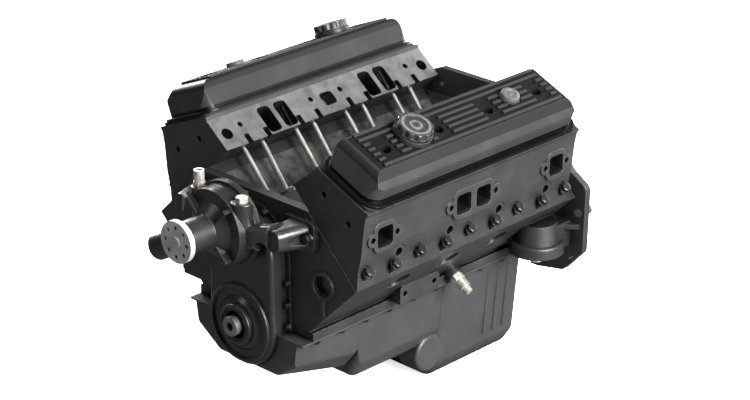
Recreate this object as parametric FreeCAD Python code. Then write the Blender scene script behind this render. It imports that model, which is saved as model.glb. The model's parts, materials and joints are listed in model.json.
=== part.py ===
import FreeCAD, Part
import math
import os

V = FreeCAD.Vector
os.makedirs("parts", exist_ok=True)

# Driving dimensions, millimetres and degrees.
# The origin is on the crank axis at the rear face of the block. X points to the engine's left bank,
# Y runs rearwards along the crank, and Z is up. Lifters, bores and decks use bank coordinates:
# u along the bores and v across the deck, outwards. Rockers and covers use rail coordinates:
# s across the cover rail, outwards, and h square to it.

# Block and cylinders
bore_diameter = 101.6
stroke = 88.4
bore_pitch = 111.76
bank_angle = 45.0
bank_stagger = 22.4
deck_height = 229.2
block_length = 514.0
first_bore_from_front = 72.0
rod_length = 144.8
piston_pin_height = 39.6
deck_outer_v = 74.0
deck_inner_v = -66.0
rail_half_width = 125.0
rail_thickness = 12.0
rail_land = 18.0
bore_bottom_u = 62.0
gallery_floor_u = 138.0
gallery_floor_v = -98.0
end_wall = 16.0
bay_radius = 88.0
bulkhead_width = 22.0
main_bore_radius = 33.5
jacket_wall = 5.5
jacket_bottom_u = 142.0
jacket_top_u = 215.0
core_plug_radius = 20.6
flange_thickness = 12.0

# Crank train
main_journal_radius = 31.15
pin_journal_radius = 26.65
main_journal_length = 25.0
pin_journal_length = 48.76
counterweight_radius = 76.0
cheek_pin_radius = 37.0
snout_radius = 15.8
sprocket_seat_radius = 19.0
snout_reach = 55.0
crank_flange_radius = 46.0
crank_flange_rear = 20.0
crank_bolt_circle = 76.2
crank_bolt_radius = 5.6
pilot_radius = 21.6
rod_width = 22.0
wrist_pin_radius = 11.8
running_gap = 0.05
seat_gap = 0.05

# Cam and valve train
cam_height = 114.8
cam_journal_radius = 23.7
lobe_base_radius = 16.0
lobe_nose_radius = 8.0
lobe_nose_offset = 15.0
lobe_width = 9.0
lobe_centre_angle = 110.0
lifter_radius = 10.7
lifter_length = 50.0
lifter_foot_radius = 8.7
lifter_foot_length = 12.0
lifter_cup_depth = 12.0
lifter_boss_radius = 14.5
lifter_boss_height = 7.0
lifter_spacing = 18.0
valve_spacing = 22.0
pushrod_radius = 4.0
rocker_ratio = 1.5
rocker_pushrod_arm = 23.4
intake_valve_radius = 23.0
exhaust_valve_radius = 18.5
stem_radius = 4.3
valve_length = 122.0
spring_radius = 14.0
spring_wire = 2.1

# Heads, rails and covers
gasket_thickness = 1.0
head_length = 477.0
head_inner_v = -112.5
rail_inner_x = 131.0
rail_inner_z = 284.0
rail_angle = 23.0
rail_width = 113.7
intake_port_x = 104.0
intake_port_z = 259.0
intake_face_angle = 38.0
exhaust_port_x = 226.0
exhaust_port_z = 190.0
intake_port_pair = 17.5
exhaust_port_outer = 193.5
exhaust_port_inner = 22.2
valve_s = 82.0
valve_tip_h = 31.0
cover_height = 54.0
cover_wall = 3.0
cover_flange = 4.0
cover_gasket = 4.0

# Timing set
chain_pitch = 9.525
crank_teeth = 18
sprocket_width = 12.0
roller_radius = 3.1
sprocket_rim = 1.2
tooth_play = 0.35
pin_slack = 0.05
timing_cover_depth = 32.0
seal_nose_depth = 46.0
timing_wall = 2.0
timing_flange = 3.0
seal_radius = 27.0
seal_bore_radius = 22.3

# Water pump
pump_height = 173.0
hub_reach = 158.0
hub_radius = 33.0
hub_thickness = 9.0
pump_shaft_radius = 8.0
pump_bearing_radius = 19.0
volute_radius = 62.0
impeller_radius = 44.0

# Oil pan and pump
pan_gasket = 2.0
pan_flange = 3.0
pan_wall = 2.0
pan_front_depth = 92.0
pan_middle_depth = 120.0
sump_depth = 190.0
pan_front_end = 22.0
pan_middle_y = -395.0
sump_front_y = -216.0
sump_rear_y = -10.0
oil_gear_module = 2.2
oil_gear_teeth = 10

# Values worked out from the driving dimensions
front_y = -block_length
left_centre_y = front_y + first_bore_from_front + 1.5 * bore_pitch
right_centre_y = left_centre_y + bank_stagger
throw = stroke / 2
bore_radius = bore_diameter / 2
cylinder_ys = [(i - 1.5) * bore_pitch for i in range(4)]
pin_ys = [left_centre_y + y + bank_stagger / 2 for y in cylinder_ys]
main_ys = [pin_ys[0] + (i - 0.5) * bore_pitch for i in range(5)]
pin_angles = [45.0, 135.0, -45.0, 225.0]
head_bottom_u = deck_height + gasket_thickness
half_head = head_length / 2
lifter_v = -cam_height * math.sin(math.radians(bank_angle))
cam_u = cam_height * math.cos(math.radians(bank_angle))
crank_sprocket_radius = chain_pitch / 2 / math.sin(math.pi / crank_teeth)
cam_teeth = 2 * crank_teeth
cam_sprocket_radius = chain_pitch / 2 / math.sin(math.pi / cam_teeth)
sprocket_y = front_y - 16.0
hub_front_y = front_y - hub_reach
sprocket_seat_y = sprocket_y - sprocket_width / 2 - 1.0


def box(x0, x1, y0, y1, z0, z1):
    return Part.makeBox(x1 - x0, y1 - y0, z1 - z0, V(x0, y0, z0))


def rod(radius, start, end):
    a = V(*start)
    b = V(*end)
    return Part.makeCylinder(radius, (b - a).Length, a, b - a)


def cone(radius_a, radius_b, start, end):
    a = V(*start)
    b = V(*end)
    return Part.makeCone(radius_a, radius_b, (b - a).Length, a, b - a)


def polygon(points):
    corners = [V(*p) for p in points]
    return Part.makePolygon(corners + [corners[0]])


def prism_y(points, y0, y1):
    face = Part.Face(polygon([(x, y0, z) for x, z in points]))
    return face.extrude(V(0, y1 - y0, 0))


def prism_z(points, z0, z1):
    face = Part.Face(polygon([(x, y, z0) for x, y in points]))
    return face.extrude(V(0, 0, z1 - z0))


def join(shapes):
    shapes = list(shapes)
    if len(shapes) == 1:
        return shapes[0]
    return shapes[0].multiFuse(shapes[1:]).removeSplitter()


def cut(shape, tools):
    return shape.cut(list(tools))


def group(shapes):
    return Part.makeCompound(list(shapes))


def mirrored_x(points):
    return points + [(-x, z) for x, z in reversed(points)]


def bank_point(u, v):
    a = math.radians(bank_angle)
    return (u * math.sin(a) + v * math.cos(a), u * math.cos(a) - v * math.sin(a))


def rail_point(s, h):
    a = math.radians(rail_angle)
    x = rail_inner_x + s * math.cos(a) + h * math.sin(a)
    z = rail_inner_z - s * math.sin(a) + h * math.cos(a)
    return (x, z)


def on_bank(shape):
    return shape.rotated(V(0, 0, 0), V(0, 1, 0), bank_angle)


def on_rail(shape):
    turned = shape.rotated(V(0, 0, 0), V(0, 1, 0), rail_angle)
    return turned.translated(V(rail_inner_x, 0, rail_inner_z))


def place(shape, side):
    """Move a piece made about the middle of a bank to the left (1) or right (-1) bank."""
    if side > 0:
        return shape.translated(V(0, left_centre_y, 0))
    turned = shape.rotated(V(0, 0, 0), V(0, 0, 1), 180)
    return turned.translated(V(0, right_centre_y, 0))


def both_banks(shape):
    return [place(shape, 1), place(shape, -1)]


def hex_prism(across_flats, height, start, direction):
    """A hexagonal head standing on start and rising along direction."""
    d = V(*direction)
    d.normalize()
    radius = across_flats / math.sqrt(3)
    corners = []
    for i in range(6):
        angle = math.radians(60 * i)
        corners.append(V(radius * math.cos(angle), radius * math.sin(angle), 0))
    solid = Part.Face(Part.makePolygon(corners + [corners[0]])).extrude(V(0, 0, height))
    solid.Placement = FreeCAD.Placement(V(*start), FreeCAD.Rotation(V(0, 0, 1), d))
    return solid


def bolt(seat, direction, radius, length, across_flats, head_height, washer=0.0):
    """A bolt whose head stands on seat and rises along direction, with its shank the other way."""
    d = V(*direction)
    d.normalize()
    s = V(*seat)
    shank = Part.makeCylinder(radius, length, s - d * length, d)
    pieces = [shank]
    base = s
    if washer > 0:
        pieces.append(Part.makeCylinder(washer, 1.5, s, d))
        base = s + d * 1.5
    pieces.append(hex_prism(across_flats, head_height, tuple(base), tuple(d)))
    return join(pieces)


def export(name, shape):
    shape.exportStep("parts/" + name + ".step")
    print(name, len(shape.Solids), "solids", round(shape.Volume / 1000), "cm3", shape.isValid())


# Places shared by several pieces

head_bolt_radius = 5.5
bolt_row_ys = [(i - 2) * bore_pitch for i in range(5)]
upper_bolt_v = -57.0
lower_bolt_v = 60.0
side_bolt_v = 64.0
upper_bolt_seat_u = head_bottom_u + 52.0
lower_bolt_seat_u = head_bottom_u + 24.0
main_bolt_x = 41.0
main_bolt_radius = 5.5
cap_half_width = 50.0
cap_height = 58.0
pump_leg_bolts = [(82.6, 160.4), (126.0, 172.0)]
coolant_port = (104.0, 178.0)
coolant_port_radius = 13.0
pump_bolt_radius = 4.8
filter_x = 176.0
filter_y = -58.0
filter_boss_radius = 45.0
filter_recess_radius = 37.0
filter_bottom_z = 20.0
mount_pad_x = 150.0
mount_pad_y = -306.0
mount_hole_spacing = 66.0
mount_hole_z = 28.0
mount_hole_radius = 4.8
bell_bolts = [(76.0, 228.0), (196.0, 128.0), (212.0, 4.0)]
bell_bolt_radius = 4.8
bell_dowel = (222.0, 84.0)
dowel_radius = 7.9
dowel_relief = 1.0
dowel_root_radius = 7.0
dowel_reach = 14.0
drive_top = (28.0, -29.0, 114.8)
drive_bottom = (72.0, -29.0, -62.0)
drive_shaft_radius = 5.0
distributor_radius = 13.0
distributor_floor = 210.0
front_plug_place = (172.7, 34.7)
front_plug_radius = 17.0
side_plug_u = 178.0
seal_housing_radius = 56.0
rear_seal_depth = 22.0
crank_flange_front = -18.0
fuel_pad_y = -478.0
fuel_pad_z = 34.0
fuel_pad_x = -170.0
fuel_bolt_radius = 4.7
timing_bolt_radius = 3.1
knock_y = -209.0
knock_z = 10.0
knock_seat_x = 138.0
knock_radius = 9.0
knock_tilt = 30.0
pan_bolt_x = 118.5
pan_bolt_radius = 3.1
pan_bolt_ys = [-500.0 + 53.0 * i for i in range(10)]


def on_drive_line(distance):
    """A point this far up from the lower end of the oil pump's drive line."""
    a = V(*drive_bottom)
    b = V(*drive_top)
    d = (b - a).normalize()
    return tuple(a + d * distance)


def knock_point(distance):
    """A point this far out of the knock sensor's boss, along the sensor."""
    angle = math.radians(knock_tilt)
    return (knock_seat_x + distance * math.cos(angle), knock_y, knock_z - distance * math.sin(angle))


def jacket():
    y = 1.5 * bore_pitch + bore_radius + jacket_wall + 4.0
    inner = deck_inner_v + 7.0
    outer = deck_outer_v - 8.0
    space = box(inner, outer, -y, y, jacket_bottom_u, jacket_top_u)
    sleeve = bore_radius + jacket_wall
    sleeves = [rod(sleeve, (0, c, jacket_bottom_u - 1), (0, c, jacket_top_u + 1)) for c in cylinder_ys]
    return cut(space, sleeves)


def bank_cuts():
    """Everything machined into one bank, about the middle of that bank."""
    tools = [jacket()]
    for y in cylinder_ys:
        tools.append(rod(bore_radius, (0, y, bore_bottom_u), (0, y, deck_height + 1)))
        for offset in (-lifter_spacing, lifter_spacing):
            place_y = y + offset
            tools.append(rod(lifter_radius + running_gap, (lifter_v, place_y, cam_u),
                             (lifter_v, place_y, gallery_floor_u + lifter_boss_height + 1)))
        tools.append(rod(head_bolt_radius + seat_gap, (side_bolt_v, y, jacket_top_u - 20),
                         (side_bolt_v, y, deck_height + 1)))
    for y in bolt_row_ys:
        for v in (upper_bolt_v, lower_bolt_v):
            tools.append(rod(head_bolt_radius + seat_gap, (v, y, jacket_top_u - 20), (v, y, deck_height + 1)))
    for y in (-bore_pitch, 0, bore_pitch):
        tools.append(rod(core_plug_radius, (deck_outer_v - 9, y, side_plug_u),
                         (deck_outer_v + 1, y, side_plug_u)))
    return [on_bank(t) for t in tools]


def bell_outline():
    right = [(127.0, 0.0), (127.0, -34.0), (142.0, -34.0), (196.0, -24.0), (234.0, 18.0), (236.0, 130.0),
             (204.0, 150.0), (120.0, 238.0), (78.0, 256.0)]
    return mirrored_x(right)


def mount_pad(side):
    """The flat pad on the crankcase that the engine mount bolts to."""
    foot = rail_thickness + deck_outer_v * math.sqrt(2)
    pad = box(foot - 8, mount_pad_x, mount_pad_y - 44, mount_pad_y + 44, rail_thickness, mount_hole_z + 14)
    edges = [e for e in pad.Edges if abs(e.tangentAt(0).x) > 0.9 and e.BoundBox.ZMin > rail_thickness + 1]
    pad = pad.makeFillet(8.0, edges)
    return pad if side > 0 else pad.mirror(V(0, 0, 0), V(1, 0, 0))


def make_filter_boss():
    """The round oil filter face at the left rear corner, with its neck and the web to the bell flange."""
    rim = rod(filter_boss_radius, (filter_x, filter_y, filter_bottom_z), (filter_x, filter_y,
                                                                          filter_bottom_z + 20))
    rim = rim.makeFillet(4.0, [e for e in rim.Edges if e.BoundBox.ZMin > filter_bottom_z + 19])
    neck_radius_low = filter_boss_radius - 9
    neck = cone(neck_radius_low, neck_radius_low - 4, (filter_x, filter_y, filter_bottom_z + 18),
                (filter_x, filter_y, filter_bottom_z + 52))
    web = box(filter_x - 34, filter_x + 30, filter_y, -flange_thickness + 1, filter_bottom_z + 3,
              filter_bottom_z + 46)
    return join([rim, neck, web])


def lifter_bosses():
    """Raised rings round the lifter bores on the valley floor."""
    rings = []
    for y in cylinder_ys:
        for offset in (-lifter_spacing, lifter_spacing):
            ring = rod(lifter_boss_radius, (lifter_v, y + offset, gallery_floor_u - 6),
                       (lifter_v, y + offset, gallery_floor_u + lifter_boss_height))
            rings += both_banks(on_bank(ring))
    return rings


def front_bosses():
    """Rings round the front core plugs, each with a rib below it."""
    x, z = bank_point(*front_plug_place)
    pieces = []
    for s in (-1, 1):
        pieces.append(rod(front_plug_radius + 6, (s * x, front_y - 4, z), (s * x, front_y + 4, z)))
        x0, x1 = sorted((s * (x - 4), s * (x + 4)))
        pieces.append(box(x0, x1, front_y - 4, front_y + 4, z - 48, z - front_plug_radius))
    return pieces


def make_block():
    foot = rail_thickness + deck_outer_v * math.sqrt(2)
    valley = [bank_point(deck_height, deck_inner_v), bank_point(gallery_floor_u, deck_inner_v),
              bank_point(gallery_floor_u, gallery_floor_v)]
    outline = [(rail_half_width, 0), (rail_half_width, rail_thickness), (foot, rail_thickness),
               bank_point(deck_height, deck_outer_v)] + valley
    body = prism_y(mirrored_x(outline), front_y, 0)
    walls = [prism_y(mirrored_x(valley), front_y, front_y + end_wall),
             prism_y(mirrored_x(valley), -end_wall, 0)]
    flange = prism_y(bell_outline(), -flange_thickness, 0)
    corners = [e for e in flange.Edges if abs(e.Vertexes[0].X) > 130 and abs(e.tangentAt(0).y) > 0.9]
    flange = flange.makeFillet(12.0, corners)
    boss = make_filter_boss()
    fuel_pad = box(fuel_pad_x, -110, fuel_pad_y - 30, fuel_pad_y + 30, fuel_pad_z - 18, fuel_pad_z + 18)
    gussets = []
    for side in (-1, 1):
        web = prism_z([(side * 120, -flange_thickness), (side * 226, -flange_thickness), (side * 120, -96)],
                      56, 64)
        gussets.append(web)
    knock_boss = rod(14.0, knock_point(-24), knock_point(0))
    knock_boss = knock_boss.cut(box(0, 200, -300, 0, -30, 0))
    pieces = [body, flange, boss, fuel_pad, knock_boss, mount_pad(1), mount_pad(-1)] + walls + gussets
    body = join(pieces + lifter_bosses() + front_bosses())

    tools = []
    for y in pin_ys:
        half = (bore_pitch - bulkhead_width) / 2
        tools.append(rod(bay_radius, (0, y - half, 0), (0, y + half, 0)))
        inner = rail_half_width - rail_land
        tools.append(box(-inner, inner, y - half, y + half, -1, 42))
    tools.append(rod(main_bore_radius, (0, front_y - 1, 0), (0, 1, 0)))
    tools.append(rod(cam_journal_radius + running_gap, (0, front_y - 1, cam_height), (0, -14, cam_height)))
    tools.append(rod(seal_housing_radius + seat_gap, (0, -rear_seal_depth, 0), (0, 1, 0)))
    for x in (-main_bolt_x, main_bolt_x):
        for y in main_ys:
            tools.append(rod(main_bolt_radius + seat_gap, (x, y, -1), (x, y, 46)))
    for x, z in pump_leg_bolts:
        for s in (-1, 1):
            tools.append(rod(pump_bolt_radius + seat_gap, (s * x, front_y - 1, z), (s * x, front_y + 26, z)))
    for s in (-1, 1):
        x, z = coolant_port
        tools.append(rod(coolant_port_radius, (s * x, front_y - 1, z), (s * x, front_y + 34, z)))
        x, z = bank_point(*front_plug_place)
        tools.append(rod(front_plug_radius, (s * x, front_y - 5, z), (s * x, front_y + 8, z)))
        for x, z in bell_bolts:
            tools.append(rod(bell_bolt_radius, (s * x, -flange_thickness - 1, z), (s * x, 1, z)))
        x, z = bell_dowel
        tools.append(rod(dowel_root_radius + seat_gap, (s * x, -flange_thickness - 1, z), (s * x, 1, z)))
        tools.append(rod(dowel_radius + 0.3, (s * x, -dowel_relief, z), (s * x, 1, z)))
        for offset in (-0.5, 0.5):
            y = mount_pad_y + offset * mount_hole_spacing
            tools.append(rod(mount_hole_radius, (s * (mount_pad_x - 24), y, mount_hole_z),
                             (s * (mount_pad_x + 1), y, mount_hole_z)))
    for y in pan_bolt_ys:
        for x in (-pan_bolt_x, pan_bolt_x):
            tools.append(rod(pan_bolt_radius + seat_gap, (x, y, -1), (x, y, rail_thickness - 1)))
    tools.append(rod(filter_recess_radius, (filter_x, filter_y, filter_bottom_z - 1),
                     (filter_x, filter_y, filter_bottom_z + 12)))
    tools.append(rod(drive_shaft_radius + 1.0, on_drive_line(0), on_drive_line(distributor_floor + 1)))
    tools.append(rod(distributor_radius, on_drive_line(distributor_floor), on_drive_line(270)))
    tools.append(rod(12.0, (fuel_pad_x - 1, fuel_pad_y, fuel_pad_z), (fuel_pad_x + 14, fuel_pad_y,
                                                                      fuel_pad_z)))
    for y in (fuel_pad_y - 21, fuel_pad_y + 21):
        tools.append(rod(fuel_bolt_radius + seat_gap, (fuel_pad_x - 1, y, fuel_pad_z),
                         (fuel_pad_x + 18, y, fuel_pad_z)))
    for x, z in timing_bolt_places():
        tools.append(rod(timing_bolt_radius + seat_gap, (x, front_y - 1, z), (x, front_y + 15, z)))
    tools.append(rod(knock_radius + seat_gap, knock_point(-13), knock_point(1)))
    body = cut(body, tools)
    body = cut(body, [place(t, 1) for t in bank_cuts()] + [place(t, -1) for t in bank_cuts()])
    return body


def make_core_plugs():
    plugs = []
    r = core_plug_radius - seat_gap
    for y in (-bore_pitch, 0, bore_pitch):
        cup = rod(r, (deck_outer_v - 8, y, side_plug_u), (deck_outer_v - 1, y, side_plug_u))
        hollow = rod(r - 1.6, (deck_outer_v - 6.4, y, side_plug_u), (deck_outer_v, y, side_plug_u))
        plugs += both_banks(on_bank(cup.cut(hollow)))
    x, z = bank_point(*front_plug_place)
    r = front_plug_radius - seat_gap
    for s in (-1, 1):
        cup = rod(r, (s * x, front_y + 1, z), (s * x, front_y + 8, z))
        plugs.append(cup.cut(rod(r - 1.6, (s * x, front_y, z), (s * x, front_y + 6.4, z))))
    return group(plugs)


def make_main_caps():
    caps = []
    half = bulkhead_width / 2
    for y in main_ys:
        cap = box(-cap_half_width, cap_half_width, y - half, y + half, -cap_height, 0)
        edges = [e for e in cap.Edges if abs(e.tangentAt(0).y) > 0.9 and e.Vertexes[0].Z < -1]
        cap = cap.makeChamfer(16.0, edges)
        holes = [rod(main_bore_radius, (0, y - half - 1, 0), (0, y + half + 1, 0))]
        for x in (-main_bolt_x, main_bolt_x):
            holes.append(rod(main_bolt_radius + seat_gap, (x, y, -cap_height - 1), (x, y, 1)))
            holes.append(rod(11.5, (x, y, -cap_height - 1), (x, y, -cap_height + 18)))
        caps.append(cut(cap, holes))
    return group(caps)


def make_main_cap_bolts():
    bolts = []
    for y in main_ys:
        for x in (-main_bolt_x, main_bolt_x):
            seat = (x, y, -cap_height + 18)
            bolts.append(bolt(seat, (0, 0, -1), main_bolt_radius, 82.0, 16.0, 10.0, 10.5))
    return group(bolts)


def make_main_bearings():
    shells = []
    for y in main_ys:
        ring = rod(main_bore_radius - seat_gap, (0, y - 10, 0), (0, y + 10, 0))
        ring = ring.cut(rod(main_journal_radius + running_gap, (0, y - 11, 0), (0, y + 11, 0)))
        shells.append(ring.cut(box(-50, 50, y - 12, y + 12, -50, 0.02)))
        shells.append(ring.cut(box(-50, 50, y - 12, y + 12, -0.02, 50)))
    return group(shells)


def throw_point(angle, radius):
    a = math.radians(angle)
    return (radius * math.sin(a), radius * math.cos(a))


def make_cheek(angle, y0, y1, weight):
    x, z = throw_point(angle, throw)
    disc = rod(cheek_pin_radius, (x, y0, z), (x, y1, z))
    hub = rod(main_journal_radius + 7, (0, y0, 0), (0, y1, 0))
    pieces = [disc, hub]
    if weight:
        wheel = rod(counterweight_radius, (0, y0, 0), (0, y1, 0))
        keep = box(-90, 90, y0 - 1, y1 + 1, -90, -6).rotated(V(0, 0, 0), V(0, 1, 0), angle)
        pieces.append(wheel.common(keep))
    return join(pieces)


def make_crankshaft():
    half_main = main_journal_length / 2
    half_pin = pin_journal_length / 2
    pieces = [rod(main_journal_radius, (0, y - half_main, 0), (0, y + half_main, 0)) for y in main_ys]
    for i, y in enumerate(pin_ys):
        x, z = throw_point(pin_angles[i], throw)
        pieces.append(rod(pin_journal_radius, (x, y - half_pin, z), (x, y + half_pin, z)))
        outer = bore_pitch / 2 - half_main
        pieces.append(make_cheek(pin_angles[i], y - outer, y - half_pin, i != 2))
        pieces.append(make_cheek(pin_angles[i], y + half_pin, y + outer, i != 1))
    nose_y = main_ys[0] - half_main
    pieces.append(rod(sprocket_seat_radius, (0, sprocket_seat_y, 0), (0, nose_y, 0)))
    pieces.append(rod(snout_radius, (0, front_y - snout_reach, 0), (0, sprocket_seat_y, 0)))
    rear_y = main_ys[-1] + half_main
    pieces.append(rod(crank_flange_radius, (0, crank_flange_front, 0), (0, crank_flange_rear, 0)))
    pieces.append(rod(main_journal_radius, (0, rear_y, 0), (0, crank_flange_front, 0)))
    body = join(pieces)
    tools = [rod(pilot_radius, (0, crank_flange_rear - 16, 0), (0, crank_flange_rear + 1, 0)),
             rod(7.0, (0, front_y - snout_reach - 1, 0), (0, front_y - snout_reach + 40, 0))]
    for i in range(6):
        x, z = throw_point(60 * i + 30, crank_bolt_circle / 2)
        tools.append(rod(crank_bolt_radius, (x, crank_flange_rear - 18, z), (x, crank_flange_rear + 1, z)))
    tools.append(box(-2.4, 2.4, front_y - snout_reach - 1, sprocket_seat_y, snout_radius - 2.4,
                     snout_radius + 3))
    for i, y in enumerate(pin_ys):
        x, z = throw_point(pin_angles[i], throw)
        tools.append(rod(4.0, (x, y - half_pin - 30, z), (x, y + half_pin + 30, z)))
    return cut(body, tools)


def chain_loop():
    """The middles of the chain's pins: round the cam's sprocket, down, round the crank's and up."""
    slope = math.degrees(math.asin((cam_sprocket_radius - crank_sprocket_radius) / cam_height))
    upper = []
    step = 360.0 / cam_teeth
    count = round((90 + slope) / step)
    for i in range(-count, count + 1):
        x, z = throw_point(i * step, cam_sprocket_radius)
        upper.append((x, cam_height + z))
    step = 360.0 / crank_teeth
    count = round((90 - slope) / step)
    lower = []
    for i in range(-count, count + 1):
        lower.append(throw_point(180 + i * step, crank_sprocket_radius))
    right_run = straight_run(upper[-1], lower[0])
    left_run = straight_run(lower[-1], upper[0])
    return upper + right_run + lower + left_run


def straight_run(a, b):
    n = round(math.hypot(b[0] - a[0], b[1] - a[1]) / chain_pitch)
    return [(a[0] + (b[0] - a[0]) * k / n, a[1] + (b[1] - a[1]) * k / n) for k in range(1, n)]


def make_sprocket(teeth, pitch_radius, centre_z, inner_radius, first_angle, hub_radius, hub_length):
    half = sprocket_width / 2
    rim = pitch_radius + sprocket_rim
    body = rod(rim, (0, sprocket_y - half, centre_z), (0, sprocket_y + half, centre_z))
    back = rod(hub_radius, (0, sprocket_y, centre_z), (0, sprocket_y + hub_length, centre_z))
    body = join([body, back])
    pockets = []
    for i in range(teeth):
        x, z = throw_point(first_angle + 360.0 * i / teeth, pitch_radius)
        pockets.append((x, centre_z + z))
    for x, z in chain_loop():
        reach = math.hypot(x, z - centre_z)
        if pitch_radius + pin_slack < reach < rim + roller_radius + pin_slack:
            pockets.append((x, z))
    tools = []
    for x, z in pockets:
        tools.append(rod(roller_radius + tooth_play, (x, sprocket_y - half - 1, z), (x,
                                                                                     sprocket_y + half + 1, z)))
    if inner_radius > 0:
        tools.append(rod(inner_radius, (0, sprocket_y - 30, centre_z), (0, sprocket_y + 40, centre_z)))
    return cut(body, tools)


def make_crank_sprocket():
    body = make_sprocket(crank_teeth, crank_sprocket_radius, 0.0, sprocket_seat_radius + seat_gap, 0.0,
                         22.5, 14.0)
    return body


cam_bolt_circle = 15.0
cam_bolt_radius = 4.0


def make_cam_sprocket():
    body = make_sprocket(cam_teeth, cam_sprocket_radius, cam_height, 0.0, 0.0, 26.0, 14.0)
    tools = []
    for i in range(3):
        x, z = throw_point(120 * i, cam_bolt_circle)
        tools.append(rod(cam_bolt_radius + seat_gap, (x, sprocket_y - 20, cam_height + z),
                         (x, sprocket_y + 20, cam_height + z)))
    for i in range(6):
        x, z = throw_point(60 * i + 30, 38.0)
        tools.append(rod(8.0, (x, sprocket_y - 20, cam_height + z), (x, sprocket_y + 20, cam_height + z)))
    body = cut(body, tools)
    bolts = []
    for i in range(3):
        x, z = throw_point(120 * i, cam_bolt_circle)
        seat = (x, sprocket_y - sprocket_width / 2, cam_height + z)
        bolts.append(bolt(seat, (0, -1, 0), cam_bolt_radius, 26.0, 12.0, 6.0))
    return group([body] + bolts)


# Cam timing: firing order front to back, left bank odd and right bank even
firing_angle = {1: 0, 8: 90, 4: 180, 3: 270, 6: 360, 5: 450, 7: 540, 2: 630}


def cylinder_number(side, index):
    return 2 * index + (1 if side > 0 else 2)


def cam_phase(side, index, kind):
    """Angle from this valve's lobe nose to its lifter, in cam degrees, at rest."""
    position = -firing_angle[cylinder_number(side, index)] % 720
    centre = 360 + lobe_centre_angle if kind == "intake" else 360 - lobe_centre_angle
    turn = (position - centre) / 2
    return (turn + 180) % 360 - 180


def follower_lift(side, index, kind):
    reach = lobe_nose_offset * math.cos(math.radians(cam_phase(side, index, kind))) + lobe_nose_radius
    return max(0.0, reach - lobe_base_radius)


def valve_kinds(index):
    """The two valves of one cylinder, front one first."""
    return ("exhaust", "intake") if index in (0, 2) else ("intake", "exhaust")


def all_valves():
    """Side, cylinder index, kind, lifter y and valve y about the bank's middle, as the side is built."""
    for side in (1, -1):
        for index in range(4):
            for which, kind in enumerate(valve_kinds(index)):
                sign = 2 * which - 1
                lifter_y = cylinder_ys[index] + sign * lifter_spacing
                valve_y = cylinder_ys[index] + sign * valve_spacing
                yield side, index, kind, side * lifter_y, side * valve_y


def lifter_station(side, local_y):
    return (left_centre_y if side > 0 else right_centre_y) + side * local_y


def make_lobe(side, index, kind, y):
    """One lobe in the row frame, turned so that its lifter stands on it."""
    nose_angle = side * bank_angle + cam_phase(side, index, kind)
    ratio = (lobe_base_radius - lobe_nose_radius) / lobe_nose_offset
    swing = math.acos(ratio)
    def at(radius, centre, angle):
        return (radius * math.sin(angle), centre + radius * math.cos(angle))
    a = at(lobe_base_radius, 0, -swing)
    b = at(lobe_base_radius, 0, math.pi)
    c = at(lobe_base_radius, 0, swing)
    d = at(lobe_nose_radius, lobe_nose_offset, swing)
    e = at(lobe_nose_radius, lobe_nose_offset, 0)
    f = at(lobe_nose_radius, lobe_nose_offset, -swing)
    def p(point):
        return V(point[0], y - lobe_width / 2, point[1])
    edges = [Part.Arc(p(a), p(b), p(c)).toShape(), Part.LineSegment(p(c), p(d)).toShape(),
             Part.Arc(p(d), p(e), p(f)).toShape(), Part.LineSegment(p(f), p(a)).toShape()]
    solid = Part.Face(Part.Wire(edges)).extrude(V(0, lobe_width, 0))
    solid = solid.rotated(V(0, 0, 0), V(0, 1, 0), nose_angle)
    return solid.translated(V(0, 0, cam_height))


def make_camshaft():
    front = sprocket_y + 14.0
    pieces = [rod(13.0, (0, front, cam_height), (0, -20, cam_height))]
    for y in main_ys:
        pieces.append(rod(cam_journal_radius, (0, y - 11, cam_height), (0, y + 11, cam_height)))
    pieces.append(rod(22.0, (0, front, cam_height), (0, front_y + 4, cam_height)))
    for side, index, kind, lifter_y, valve_y in all_valves():
        pieces.append(make_lobe(side, index, kind, lifter_station(side, lifter_y)))
    body = join(pieces)
    tools = []
    for i in range(3):
        x, z = throw_point(120 * i, cam_bolt_circle)
        tools.append(rod(cam_bolt_radius + seat_gap, (x, front - 1, cam_height + z), (x, front + 12,
                                                                                      cam_height + z)))
    return cut(body, tools)


def make_chain():
    """Rollers and outer plates along the loop; every pair of links shares a roller."""
    loop = chain_loop()
    half = sprocket_width / 2
    pieces = []
    for i, a in enumerate(loop):
        b = loop[(i + 1) % len(loop)]
        ends = half + 2.2
        pin = rod(roller_radius, (a[0], sprocket_y - ends, a[1]), (a[0], sprocket_y + ends, a[1]))
        length = math.hypot(b[0] - a[0], b[1] - a[1])
        angle = math.degrees(math.atan2(a[1] - b[1], b[0] - a[0]))
        bar = box(0, length, half + 0.6, half + 2.2, -3.6, 3.6)
        bar = bar.fuse(box(0, length, -half - 2.2, -half - 0.6, -3.6, 3.6))
        bar = bar.rotated(V(0, 0, 0), V(0, 1, 0), angle).translated(V(a[0], sprocket_y, a[1]))
        pieces += [pin, bar]
    return join(pieces)


# Pistons and rods

piston_gap = 0.08
ring_gap = 0.03
ring_heights = (7.0, 14.0, 21.0)
ring_thickness = 1.9
piston_skirt = 20.0
crown_thickness = 9.0
rod_bolt_x = 33.5
rod_bolt_radius = 4.5
big_end_radius = 35.5
small_end_radius = 18.5


def cylinder_state(side, index):
    """Height of the wrist pin along its bore, and the crank pin's place, at rest."""
    swing = math.radians(pin_angles[index] - side * bank_angle)
    pin_u = throw * math.cos(swing) + math.sqrt(rod_length ** 2 - (throw * math.sin(swing)) ** 2)
    return pin_u, throw_point(pin_angles[index], throw)


def all_cylinders():
    for side in (1, -1):
        for index in range(4):
            yield side, index


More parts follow.
